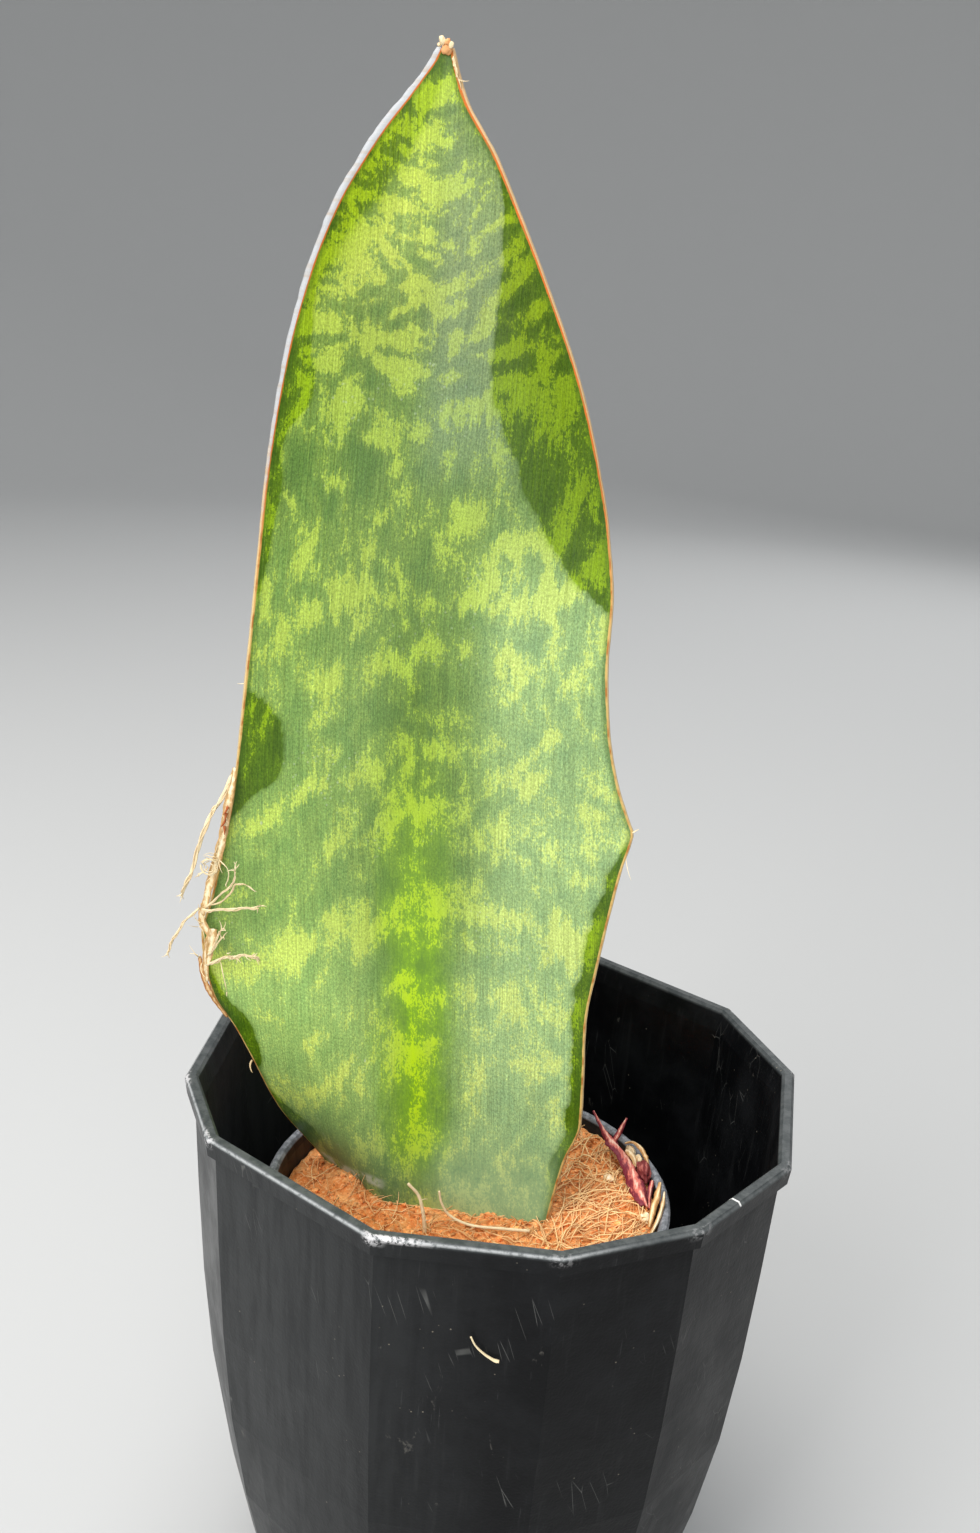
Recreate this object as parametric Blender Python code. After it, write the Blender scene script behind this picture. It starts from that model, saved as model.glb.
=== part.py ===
import math

import bmesh
import bpy
from mathutils import Vector, noise

MM = 0.001

# Outer pot: twelve-sided, the corners unevenly spaced round one circle.
POT_CORNERS_DEG = (-169.2, -147.9, -108.9, -78.7, -54.0, -27.4, 6.4, 33.1, 69.0, 99.4, 129.8, 160.2)
POT_SIDE_STEPS = 5
POT_FLOOR = 3.2
# Corner radius against height, outside and then inside.
POT_OUTER = (
    (0.0, 50.6),
    (1.2, 51.9),
    (8.0, 54.6),
    (25.0, 60.0),
    (45.0, 64.6),
    (70.0, 68.6),
    (95.0, 71.0),
    (120.0, 72.5),
    (144.2, 73.6),
    (145.2, 75.5),
    (149.2, 76.0),
    (150.0, 75.3),
)
POT_INNER = (
    (150.0, 73.5),
    (149.3, 72.8),
    (144.0, 71.4),
    (120.0, 70.1),
    (95.0, 68.6),
    (70.0, 66.2),
    (45.0, 62.2),
    (25.0, 57.6),
    (8.0, 52.2),
    (3.2, 49.9),
)
# The sides are flat near the rim and grow rounder towards the foot.
FLAT_ABOVE = 95.0
FLAT_LEAST = 0.35
ROUND_SHARE = 0.985
DRAIN_COUNT = 6
DRAIN_RADIUS = 4.5
DRAIN_CIRCLE = 34.0

# Nursery cup, standing off-centre on the outer pot's floor.
CUP_X = -5.0
CUP_Y = -12.5
CUP_FOOT = 3.5
CUP_TOP = 124.0
CUP_WALL = 1.2
CUP_FLOOR = 1.5
CUP_FOOT_RADIUS = 33.6
CUP_NECK_RADIUS = 47.9
CUP_RIM_RADIUS = 49.6
CUP_RIM_DEPTH = 2.8
CUP_SIDES = 64
CUP_DRAIN_COUNT = 8
CUP_DRAIN_RADIUS = 3.0
CUP_DRAIN_CIRCLE = 24.0

# Coir fill: its top lies higher on the +X side, where the debris rests.
GAP = 0.35
COIR_TOP = 117.0
COIR_RISE = 4.7
COIR_RISE_FROM = 2.0
COIR_RISE_OVER = 34.0
COIR_BUMP = 1.0
COIR_RINGS = 15
COIR_SECTORS = 56

# Leaf. Each station is (height, x, y) on the front face.
LEAF_FOOT = 90.0
LEAF_TIP = 381.5
LEFT_MARGIN = (
    (90.0, -25.0, -5.0),
    (106.0, -35.0, 0.0),
    (117.0, -43.0, 5.0),
    (133.0, -54.5, 2.0),
    (149.0, -61.5, -1.0),
    (157.0, -65.5, -2.0),
    (166.0, -70.7, -3.5),
    (175.0, -72.8, -4.6),
    (183.0, -73.3, -5.5),
    (192.0, -71.0, -6.3),
    (206.0, -68.4, -6.0),
    (220.0, -66.3, -5.6),
    (252.0, -63.6, -3.4),
    (286.0, -61.6, -0.3),
    (317.0, -58.2, 4.0),
    (334.5, -54.4, 7.0),
    (349.0, -49.4, 10.3),
    (357.0, -45.4, 12.5),
    (364.5, -41.2, 14.5),
    (371.7, -36.2, 16.6),
    (377.0, -32.4, 17.8),
    (381.5, -28.8, 18.8),
)
RIGHT_MARGIN = (
    (90.0, 0.0, -13.0),
    (106.0, 9.0, -17.0),
    (116.0, 14.4, -18.0),
    (122.0, 15.2, -17.6),
    (135.5, 17.7, -16.4),
    (145.0, 20.6, -15.5),
    (155.0, 20.4, -14.5),
    (170.0, 19.8, -13.0),
    (182.0, 21.0, -11.8),
    (198.0, 23.0, -10.2),
    (209.0, 24.8, -9.1),
    (214.5, 26.2, -8.5),
    (217.0, 26.6, -8.3),
    (220.0, 25.4, -8.0),
    (228.0, 22.2, -7.2),
    (241.0, 19.0, -5.9),
    (258.0, 17.3, -4.0),
    (267.0, 17.4, -2.9),
    (284.0, 15.2, -0.9),
    (293.0, 13.1, 0.1),
    (313.5, 6.8, 3.3),
    (337.0, -3.5, 7.4),
    (349.0, -9.4, 10.5),
    (360.5, -15.4, 13.4),
    (371.0, -22.3, 16.4),
    (379.0, -25.6, 18.2),
    (381.5, -26.4, 18.8),
)
CHANNEL = (
    (90.0, -12.0, -11.0),
    (104.0, -17.0, -12.5),
    (117.0, -21.0, -13.0),
    (150.0, -23.5, -9.0),
    (195.0, -26.5, -2.8),
    (220.0, -28.3, 0.3),
    (252.0, -29.3, 4.3),
    (309.0, -27.8, 11.1),
    (350.0, -27.0, 16.0),
    (381.5, -27.5, 19.0),
)
# Thickness over the channel, against height, and along the margins.
LEAF_THICKNESS = (
    (90.0, 6.4),
    (117.0, 6.0),
    (150.0, 5.2),
    (200.0, 4.6),
    (300.0, 3.4),
    (360.0, 2.6),
    (381.5, 1.8),
)
MARGIN_THICKNESS = ((90.0, 3.2), (117.0, 2.0), (200.0, 1.5), (300.0, 1.9), (381.5, 1.5))
THICKNESS_FALL = 1.6
# Below FOLD_LOW the left wing folds back in an S; above FOLD_HIGH the blade is one open channel.
FOLD_LOW = 122.0
FOLD_HIGH = 172.0
FOLD_SHARE = 0.6
BURIED_STEP = 4.0
BURIED_STEPS = 10
FREE_STEPS = 56
LEAF_HALF_COLUMNS = 9
MARGIN_ROUNDING = 0.42

# Rhizome: a short ringed stem with its top cut flat under the leaf's foot.
RHIZOME_CENTRE = (-12.5, -6.5, 80.6)
RHIZOME_TURN_DEG = -30.0
RHIZOME_LENGTH = 46.0
RHIZOME_RADIUS = 9.6
RHIZOME_TOP = 89.6
RHIZOME_RING_DEPTH = 0.05
RHIZOME_RING_COUNT = 7

# Roots: (azimuth, reach from the cup's axis, foot height).
ROOTS = (
    (-160.0, 25.0, 22.0),
    (-95.0, 27.0, 40.0),
    (-20.0, 24.0, 16.0),
    (45.0, 29.0, 46.0),
    (115.0, 26.0, 30.0),
)
ROOT_START = 69.4
ROOT_START_RADIUS = 1.8
ROOT_END_RADIUS = 0.8
ROOT_WAVE = 1.6

# Debris on the fill's high side.
SHEATH_PATH = (
    (26.6, 14.6, 130.0),
    (28.4, 12.0, 128.0),
    (30.2, 9.8, 126.0),
    (33.0, 8.6, 124.2),
    (34.6, 2.9, 122.9),
    (35.8, -4.0, 122.8),
    (36.7, -9.0, 122.6),
    (37.4, -13.6, 122.6),
)
SHEATH_WIDTHS = (0.8, 1.5, 2.2, 3.4, 3.8, 3.6, 3.2, 1.6)
SHEATH_THICKNESS = 1.0
PRONG_PATH = ((32.0, 10.2, 124.9), (33.4, 11.4, 127.0), (35.0, 13.2, 129.6))
PRONG_WIDTHS = (1.4, 1.2, 0.7)
# Lumps: name, centre, half sizes, turn about Z, tilt, seed.
LUMPS = (
    ("husk_chunk", (39.0, -1.6, 123.9), (1.7, 3.4, 2.3), 12.0, 8.0, 3),
    ("husk_chip_1", (36.5, 7.9, 123.1), (0.7, 1.9, 1.4), 30.0, 10.0, 5),
    ("husk_chip_2", (38.2, 3.6, 124.3), (0.7, 1.5, 1.3), 20.0, 0.0, 8),
    ("husk_chip_3", (36.8, -19.8, 122.7), (1.5, 2.0, 0.7), -20.0, 14.0, 13),
    ("husk_chip_4", (30.4, -2.4, 122.6), (1.3, 1.9, 0.6), 60.0, 0.0, 21),
)
STRIP_PATH = ((42.3, -9.6, 125.7), (41.4, -13.4, 124.9), (40.2, -17.4, 124.1), (39.0, -22.4, 122.4))
STRIP_WIDTHS = (1.0, 2.0, 2.0, 1.0)
FORK_PATH = ((40.7, -5.6, 123.5), (39.9, -8.9, 123.0), (39.6, -11.2, 122.8), (39.6, -14.6, 122.8))
FORK_WIDTHS = (0.9, 1.3, 1.3, 0.9)
STRIP_THICKNESS = 0.8

# Round strands: name, radius at the start and the end, path.
STRANDS = (
    (
        "coir_fibre_1",
        0.55,
        0.4,
        ((-14.7, -22.8, 117.4), (-15.6, -21.8, 121.6), (-16.8, -20.4, 125.2), (-19.1, -20.4, 128.6)),
    ),
    (
        "coir_fibre_2",
        0.45,
        0.4,
        ((-11.8, -19.6, 126.0), (-9.0, -20.4, 120.2), (-3.8, -21.8, 118.6), (10.4, -22.6, 119.0)),
    ),
    (
        "margin_strand_1",
        0.7,
        0.4,
        ((-67.5, -6.4, 221.5), (-70.4, -7.2, 213.0), (-72.6, -8.0, 205.0), (-77.0, -9.0, 195.0)),
    ),
    (
        "margin_strand_2",
        0.6,
        0.35,
        ((-72.6, -8.2, 189.6), (-69.6, -10.2, 191.0), (-64.0, -11.4, 193.0), (-58.2, -12.0, 193.8)),
    ),
    (
        "margin_strand_3",
        0.5,
        0.35,
        ((-73.4, -6.6, 191.4), (-76.0, -8.0, 186.4), (-78.2, -8.6, 183.4), (-80.0, -9.0, 179.6)),
    ),
    (
        "margin_strand_4",
        0.6,
        0.35,
        ((-74.4, -6.4, 174.4), (-71.0, -8.4, 176.0), (-65.0, -10.0, 178.8), (-59.4, -10.2, 180.6)),
    ),
    (
        "root_fragment",
        0.6,
        0.4,
        ((-2.4, -71.5, 126.6), (-0.9, -71.2, 123.8), (1.2, -71.1, 122.0), (3.6, -71.3, 121.0)),
    ),
)

# Colours are linear RGB, then roughness.
MATERIALS = {
    "black_plastic": ((0.012, 0.013, 0.015), 0.42),
    "cup_plastic": ((0.022, 0.023, 0.026), 0.45),
    "coir": ((0.34, 0.13, 0.045), 0.95),
    "leaf_green": ((0.075, 0.19, 0.035), 0.35),
    "rhizome_skin": ((0.55, 0.38, 0.18), 0.7),
    "root_skin": ((0.62, 0.50, 0.30), 0.75),
    "dry_sheath": ((0.42, 0.10, 0.085), 0.6),
    "dark_husk": ((0.13, 0.018, 0.014), 0.65),
    "beige_husk": ((0.66, 0.47, 0.26), 0.75),
    "dry_fibre": ((0.62, 0.42, 0.19), 0.8),
}


def clear_scene():
    for obj in list(bpy.data.objects):
        bpy.data.objects.remove(obj, do_unlink=True)


def material(name):
    found = bpy.data.materials.get(name)
    if found:
        return found
    colour, roughness = MATERIALS[name]
    made = bpy.data.materials.new(name)
    made.use_nodes = True
    shader = made.node_tree.nodes["Principled BSDF"]
    shader.inputs["Base Color"].default_value = (*colour, 1.0)
    shader.inputs["Roughness"].default_value = roughness
    shader.inputs["Metallic"].default_value = 0.0
    made.diffuse_color = (*colour, 1.0)
    return made


def add_object(name, verts, faces, stuff, sharp_deg=None, helper=False):
    mesh = bpy.data.meshes.new(name)
    mesh.from_pydata([(x * MM, y * MM, z * MM) for x, y, z in verts], [], faces)
    shape = bmesh.new()
    shape.from_mesh(mesh)
    bmesh.ops.recalc_face_normals(shape, faces=shape.faces)
    shape.to_mesh(mesh)
    shape.free()
    mesh.shade_smooth()
    if sharp_deg is not None:
        mesh.set_sharp_from_angle(angle=math.radians(sharp_deg))
    obj = bpy.data.objects.new(name, mesh)
    bpy.context.scene.collection.objects.link(obj)
    if stuff:
        mesh.materials.append(material(stuff))
    if helper:
        obj.hide_render = True
        obj.display_type = "WIRE"
    return obj


def apply_boolean(obj, other, operation):
    modifier = obj.modifiers.new(operation.title(), "BOOLEAN")
    modifier.operation = operation
    modifier.object = other
    modifier.solver = "EXACT"


def smooth_step(t):
    t = min(1.0, max(0.0, t))
    return t * t * (3.0 - 2.0 * t)


def along(stations, height, column=1):
    """The value at a height, by a monotone cubic through the stations."""
    last = len(stations) - 1
    if height <= stations[0][0]:
        return stations[0][column]
    if height >= stations[last][0]:
        return stations[last][column]
    slopes = [
        (stations[i + 1][column] - stations[i][column]) / (stations[i + 1][0] - stations[i][0])
        for i in range(last)
    ]
    tangents = [slopes[0]]
    for before, after in zip(slopes, slopes[1:]):
        same = before * after > 0
        tangents.append(2.0 * before * after / (before + after) if same else 0.0)
    tangents.append(slopes[-1])
    i = next(k for k in range(last) if stations[k + 1][0] >= height)
    span = stations[i + 1][0] - stations[i][0]
    t = (height - stations[i][0]) / span
    start, end = stations[i][column], stations[i + 1][column]
    rise = t * t * (3.0 - 2.0 * t)
    lead = t * (1.0 - t) ** 2 * span * tangents[i]
    lag = t * t * (t - 1.0) * span * tangents[i + 1]
    return start + (end - start) * rise + lead + lag


def ring_faces(rings, count, closed_profile=False):
    faces = []
    total = rings if closed_profile else rings - 1
    for i in range(total):
        a, b = i * count, ((i + 1) % rings) * count
        for j in range(count):
            k = (j + 1) % count
            faces.append((a + j, a + k, b + k, b + j))
    return faces


def disc_prism(x, y, radius, low, high, sides):
    verts = []
    for z in (low, high):
        for k in range(sides):
            turn = math.tau * k / sides
            verts.append((x + radius * math.cos(turn), y + radius * math.sin(turn), z))
    faces = ring_faces(2, sides)
    faces.append(tuple(range(sides))[::-1])
    faces.append(tuple(range(sides, 2 * sides)))
    return verts, faces


def hole_circle(name, x, y, circle, radius, count, low, high):
    verts, faces = [], []
    for k in range(count):
        turn = math.tau * (k + 0.5) / count
        more, sides = disc_prism(
            x + circle * math.cos(turn), y + circle * math.sin(turn), radius, low, high, 16
        )
        faces += [tuple(v + len(verts) for v in face) for face in sides]
        verts += more
    return add_object(name, verts, faces, None, helper=True)


def pot_directions():
    """(angle, share of the corner radius) round the pot, with every corner exact."""
    found = []
    corners = list(POT_CORNERS_DEG) + [POT_CORNERS_DEG[0] + 360.0]
    for start, end in zip(corners, corners[1:]):
        middle, half = (start + end) / 2.0, (end - start) / 2.0
        for step in range(POT_SIDE_STEPS):
            angle = start + (end - start) * step / POT_SIDE_STEPS
            flat = math.cos(math.radians(half)) / math.cos(math.radians(angle - middle))
            found.append((math.radians(angle), flat))
    return found


def build_outer_pot():
    directions = pot_directions()
    profile = list(POT_OUTER) + list(POT_INNER)
    verts = []
    for z, radius in profile:
        share = FLAT_LEAST + (1.0 - FLAT_LEAST) * smooth_step(z / FLAT_ABOVE)
        for angle, flat in directions:
            r = radius * (flat * share + ROUND_SHARE * (1.0 - share))
            verts.append((r * math.cos(angle), r * math.sin(angle), z))
    count = len(directions)
    faces = ring_faces(len(profile), count)
    faces.append(tuple(range(count)))
    faces.append(tuple(range(len(verts) - count, len(verts))))
    pot = add_object("outer_pot", verts, faces, "black_plastic", sharp_deg=24.0)
    drains = hole_circle(
        "outer_pot_drains", 0.0, 0.0, DRAIN_CIRCLE, DRAIN_RADIUS, DRAIN_COUNT, -2.0, POT_FLOOR + 2.0
    )
    apply_boolean(pot, drains, "DIFFERENCE")


def cup_outer_radius(z):
    share = (z - CUP_FOOT) / (CUP_TOP - CUP_RIM_DEPTH - CUP_FOOT)
    return CUP_FOOT_RADIUS + (CUP_NECK_RADIUS - CUP_FOOT_RADIUS) * share


def build_nursery_cup():
    under_rim = CUP_TOP - CUP_RIM_DEPTH
    floor = CUP_FOOT + CUP_FLOOR
    profile = [
        (CUP_FOOT, CUP_FOOT_RADIUS - 1.0),
        (CUP_FOOT + 1.0, CUP_FOOT_RADIUS),
        (40.0, cup_outer_radius(40.0)),
        (80.0, cup_outer_radius(80.0)),
        (under_rim - 0.8, cup_outer_radius(under_rim - 0.8)),
        (under_rim, CUP_RIM_RADIUS - 0.4),
        (under_rim + 0.8, CUP_RIM_RADIUS),
        (CUP_TOP - 0.8, CUP_RIM_RADIUS),
        (CUP_TOP - 0.2, CUP_RIM_RADIUS - 0.5),
        (CUP_TOP, CUP_RIM_RADIUS - 1.1),
        (CUP_TOP - 0.2, CUP_RIM_RADIUS - 1.8),
        (CUP_TOP - 0.9, CUP_RIM_RADIUS - 2.4),
        (under_rim, cup_outer_radius(under_rim) - CUP_WALL),
        (80.0, cup_outer_radius(80.0) - CUP_WALL),
        (40.0, cup_outer_radius(40.0) - CUP_WALL),
        (floor, cup_outer_radius(floor) - CUP_WALL),
    ]
    verts = []
    for z, radius in profile:
        for k in range(CUP_SIDES):
            turn = math.tau * k / CUP_SIDES
            verts.append((CUP_X + radius * math.cos(turn), CUP_Y + radius * math.sin(turn), z))
    faces = ring_faces(len(profile), CUP_SIDES)
    faces.append(tuple(range(CUP_SIDES)))
    faces.append(tuple(range(len(verts) - CUP_SIDES, len(verts))))
    cup = add_object("nursery_cup", verts, faces, "cup_plastic", sharp_deg=35.0)
    drains = hole_circle(
        "nursery_cup_drains",
        CUP_X,
        CUP_Y,
        CUP_DRAIN_CIRCLE,
        CUP_DRAIN_RADIUS,
        CUP_DRAIN_COUNT,
        CUP_FOOT - 1.0,
        floor + 1.0,
    )
    apply_boolean(cup, drains, "DIFFERENCE")


def coir_surface(x, y):
    rise = COIR_RISE * smooth_step((x - COIR_RISE_FROM) / COIR_RISE_OVER)
    calm = smooth_step((x - 22.0) / 8.0) * smooth_step((y + 28.0) / 8.0)
    bump = noise.noise(Vector((x * 0.16, y * 0.16, 1.7)))
    bump += 0.5 * noise.noise(Vector((x * 0.42, y * 0.42, 4.1)))
    return COIR_TOP + rise + COIR_BUMP * bump * (1.0 - 0.8 * calm)


def blade_point(z, u):
    """Front-face point at a height; u runs from -1 at the left margin to 1 at the right one."""
    middle = Vector((along(CHANNEL, z, 1), along(CHANNEL, z, 2), z))
    side = LEFT_MARGIN if u < 0 else RIGHT_MARGIN
    edge = Vector((along(side, z, 1), along(side, z, 2), z))
    spread = abs(u)
    bow = spread * spread
    if u < 0:
        fold = 1.0 - smooth_step((z - FOLD_LOW) / (FOLD_HIGH - FOLD_LOW))
        bow += (smooth_step(spread) - bow) * fold * FOLD_SHARE
    x = middle.x + (edge.x - middle.x) * spread
    y = middle.y + (edge.y - middle.y) * bow
    return Vector((x, y, z))


def blade_normal(z, u):
    """Points out of the back face."""
    step = 0.02
    low, high = max(-1.0, u - step), min(1.0, u + step)
    across = blade_point(z, high) - blade_point(z, low)
    up = blade_point(min(LEAF_TIP, z + 1.0), u) - blade_point(max(LEAF_FOOT, z - 1.0), u)
    normal = up.cross(across)
    return normal.normalized()


def blade_loop(z, grow):
    """One closed section of the leaf: along the front, then back along the rear face."""
    middle = along(LEAF_THICKNESS, z)
    edge = along(MARGIN_THICKNESS, z)
    columns = [
        math.sin(math.pi / 2.0 * k / LEAF_HALF_COLUMNS)
        for k in range(-LEAF_HALF_COLUMNS, LEAF_HALF_COLUMNS + 1)
    ]
    front, rear = [], []
    for u in columns:
        thickness = edge + (middle - edge) * (1.0 - abs(u) ** THICKNESS_FALL)
        normal = blade_normal(z, u)
        flat = Vector((normal.x, normal.y, 0.0)).normalized()
        start = blade_point(z, u)
        front.append(start - flat * grow)
        rear.append(start + flat * (thickness + grow))
    caps = []
    for first, second, sign in ((front[-1], rear[-1], 1), (rear[0], front[0], -1)):
        normal = blade_normal(z, sign)
        out = Vector((normal.y, -normal.x, 0.0)).normalized() * sign
        reach = edge * MARGIN_ROUNDING + grow
        caps.append([first.lerp(second, 0.25) + out * reach, first.lerp(second, 0.75) + out * reach])
    return front + caps[0] + rear[::-1] + caps[1]


def buried_heights():
    return [LEAF_FOOT + BURIED_STEP * k for k in range(BURIED_STEPS + 1)]


def build_blade(name, heights, grow, stuff, helper=False):
    loops = [blade_loop(z, grow) for z in heights]
    count = len(loops[0])
    verts = [tuple(point) for loop in loops for point in loop]
    faces = ring_faces(len(loops), count)
    faces.append(tuple(range(count)))
    faces.append(tuple(range(len(verts) - count, len(verts))))
    return add_object(name, verts, faces, stuff, sharp_deg=60.0, helper=helper)


def rhizome_shape(grow):
    turn = math.radians(RHIZOME_TURN_DEG)
    axis = Vector((math.cos(turn), math.sin(turn), 0.0))
    side = Vector((-axis.y, axis.x, 0.0))
    centre = Vector(RHIZOME_CENTRE)
    rings, sides = 21, 20
    verts = []
    for i in range(rings):
        t = -0.97 + 1.94 * i / (rings - 1)
        ridge = 1.0 + RHIZOME_RING_DEPTH * math.cos(math.pi * RHIZOME_RING_COUNT * t)
        radius = RHIZOME_RADIUS * (1.0 - t**4) ** 0.5 * ridge + grow
        middle = centre + axis * t * (RHIZOME_LENGTH / 2.0 + grow)
        for k in range(sides):
            a = math.tau * k / sides
            point = middle + side * radius * math.cos(a) + Vector((0.0, 0.0, radius * math.sin(a)))
            verts.append((point.x, point.y, min(point.z, RHIZOME_TOP + grow)))
    faces = ring_faces(rings, sides)
    faces.append(tuple(range(sides)))
    faces.append(tuple(range(len(verts) - sides, len(verts))))
    return verts, faces


def spline(points, per_span):
    """A Catmull-Rom curve through the points."""
    path = [Vector(p) for p in points]
    path = [path[0] * 2.0 - path[1]] + path + [path[-1] * 2.0 - path[-2]]
    found = []
    for a, b, c, d in zip(path, path[1:], path[2:], path[3:]):
        for step in range(per_span):
            t = step / per_span
            found.append(
                0.5
                * (
                    2.0 * b
                    + (c - a) * t
                    + (2.0 * a - 5.0 * b + 4.0 * c - d) * t * t
                    + (3.0 * b - a - 3.0 * c + d) * t**3
                )
            )
    found.append(path[-2].copy())
    return found


def swept(points, widths, thicknesses, sides, up=Vector((0.0, 0.0, 1.0))):
    """An elliptic section carried along a path; width lies across `up`."""
    verts = []
    last = len(points) - 1
    for i, point in enumerate(points):
        ahead = (points[min(last, i + 1)] - points[max(0, i - 1)]).normalized()
        across = ahead.cross(up)
        across = across.normalized() if across.length > 1e-6 else Vector((1.0, 0.0, 0.0))
        over = across.cross(ahead).normalized()
        for k in range(sides):
            a = math.tau * k / sides
            offset = across * (widths[i] / 2.0 * math.cos(a)) + over * (thicknesses[i] / 2.0 * math.sin(a))
            verts.append(tuple(point + offset))
    faces = ring_faces(len(points), sides)
    faces.append(tuple(range(sides)))
    faces.append(tuple(range(len(verts) - sides, len(verts))))
    return verts, faces


def tube(path, start, end, sides=8, grow=0.0, up=Vector((0.31, 0.27, 0.91))):
    last = len(path) - 1
    widths = [2.0 * (start + (end - start) * i / last + grow) for i in range(last + 1)]
    return swept(path, widths, widths, sides, up)


def root_path(azimuth, reach, foot_height):
    turn = math.radians(azimuth)
    out = Vector((math.cos(turn), math.sin(turn), 0.0))
    aside = Vector((-out.y, out.x, 0.0))
    centre = Vector((RHIZOME_CENTRE[0], RHIZOME_CENTRE[1], 0.0))
    lie = math.radians(RHIZOME_TURN_DEG)
    rhizome_axis = Vector((math.cos(lie), math.sin(lie), 0.0))
    start = centre + rhizome_axis * out.dot(rhizome_axis) * 8.0 + out * 4.5
    start.z = ROOT_START
    goal = Vector((CUP_X, CUP_Y, foot_height)) + out * reach
    steps = 11
    path = []
    for i in range(steps + 1):
        t = i / steps
        point = start.lerp(goal, t)
        bend = math.sin(math.pi * t)
        point += out * 3.5 * bend + aside * ROOT_WAVE * math.sin(math.tau * 1.3 * t) * bend
        path.append(point)
    return path


def widened(values, per_span):
    found = []
    for a, b in zip(values, values[1:]):
        found += [a + (b - a) * step / per_span for step in range(per_span)]
    return found + [values[-1]]


def build_strip(name, path, widths, thickness, stuff, helper=False):
    curve = spline(path, 4)
    spans = widened(widths, 4)
    verts, faces = swept(curve, spans, [thickness] * len(curve), 8)
    return add_object(name, verts, faces, stuff, sharp_deg=70.0, helper=helper)


def build_lump(name, centre, half, turn_deg, tilt_deg, seed):
    shape = bmesh.new()
    bmesh.ops.create_icosphere(shape, subdivisions=2, radius=1.0)
    turn, tilt = math.radians(turn_deg), math.radians(tilt_deg)
    verts = []
    for vert in shape.verts:
        way = vert.co.copy()
        rough = 0.84 + 0.18 * noise.noise(way * 1.6 + Vector((seed, 0.0, 0.0)))
        x, y, z = way.x * half[0] * rough, way.y * half[1] * rough, way.z * half[2] * rough
        x, z = x * math.cos(tilt) + z * math.sin(tilt), z * math.cos(tilt) - x * math.sin(tilt)
        x, y = x * math.cos(turn) - y * math.sin(turn), x * math.sin(turn) + y * math.cos(turn)
        verts.append((centre[0] + x, centre[1] + y, centre[2] + z))
    faces = [tuple(v.index for v in face.verts) for face in shape.faces]
    shape.free()
    stuff = "dark_husk" if name == "husk_chunk" else "beige_husk"
    add_object(name, verts, faces, stuff, sharp_deg=50.0)


def build_coir():
    verts = []
    levels = (CUP_FOOT + CUP_FLOOR + GAP, 40.0, 80.0, 108.0)
    for z in levels:
        radius = cup_outer_radius(z) - CUP_WALL - GAP
        for k in range(COIR_SECTORS):
            turn = math.tau * k / COIR_SECTORS
            verts.append((CUP_X + radius * math.cos(turn), CUP_Y + radius * math.sin(turn), z))
    rim = cup_outer_radius(114.0) - CUP_WALL - GAP
    for ring in range(COIR_RINGS, 0, -1):
        radius = rim * ring / COIR_RINGS
        for k in range(COIR_SECTORS):
            turn = math.tau * k / COIR_SECTORS
            x, y = CUP_X + radius * math.cos(turn), CUP_Y + radius * math.sin(turn)
            verts.append((x, y, coir_surface(x, y)))
    rings = len(verts) // COIR_SECTORS
    faces = ring_faces(rings, COIR_SECTORS)
    faces.append(tuple(range(COIR_SECTORS)))
    top = len(verts)
    verts.append((CUP_X, CUP_Y, coir_surface(CUP_X, CUP_Y)))
    for k in range(COIR_SECTORS):
        a = top - COIR_SECTORS + k
        b = top - COIR_SECTORS + (k + 1) % COIR_SECTORS
        faces.append((a, b, top))
    coir = add_object("coir_medium", verts, faces, "coir", sharp_deg=50.0)
    heights = [LEAF_FOOT - GAP] + buried_heights()[1:]
    blade = build_blade("coir_cut_leaf", heights, GAP, None, helper=True)
    apply_boolean(coir, blade, "DIFFERENCE")
    verts, faces = rhizome_shape(GAP * 1.5)
    apply_boolean(coir, add_object("coir_cut_rhizome", verts, faces, None, helper=True), "DIFFERENCE")
    for number, root in enumerate(ROOTS, 1):
        path = root_path(*root)
        path = [path[0] + (path[0] - path[1]) * 0.9] + path + [path[-1] + (path[-1] - path[-2]) * 0.15]
        verts, faces = tube(path, ROOT_START_RADIUS, ROOT_END_RADIUS, grow=GAP * 2.2)
        cutter = add_object(f"coir_cut_root_{number}", verts, faces, None, helper=True)
        apply_boolean(coir, cutter, "DIFFERENCE")


def build_leaf():
    start = LEAF_FOOT + BURIED_STEP * BURIED_STEPS
    free = [start + (LEAF_TIP - start) * i / FREE_STEPS for i in range(1, FREE_STEPS + 1)]
    build_blade("leaf", buried_heights() + free, 0.0, "leaf_green")


def build_rhizome_and_roots():
    verts, faces = rhizome_shape(0.0)
    add_object("rhizome", verts, faces, "rhizome_skin", sharp_deg=50.0)
    for number, root in enumerate(ROOTS, 1):
        verts, faces = tube(root_path(*root), ROOT_START_RADIUS, ROOT_END_RADIUS)
        add_object(f"root_{number}", verts, faces, "root_skin", sharp_deg=60.0)


def build_debris():
    prong = build_strip("sheath_prong", PRONG_PATH, PRONG_WIDTHS, SHEATH_THICKNESS, None, helper=True)
    sheath = build_strip("dry_sheath", SHEATH_PATH, SHEATH_WIDTHS, SHEATH_THICKNESS, "dry_sheath")
    apply_boolean(sheath, prong, "UNION")
    for lump in LUMPS:
        build_lump(*lump)
    build_strip("husk_strip", STRIP_PATH, STRIP_WIDTHS, STRIP_THICKNESS, "beige_husk")
    build_strip("sheath_fork", FORK_PATH, FORK_WIDTHS, STRIP_THICKNESS, "dry_sheath")


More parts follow.
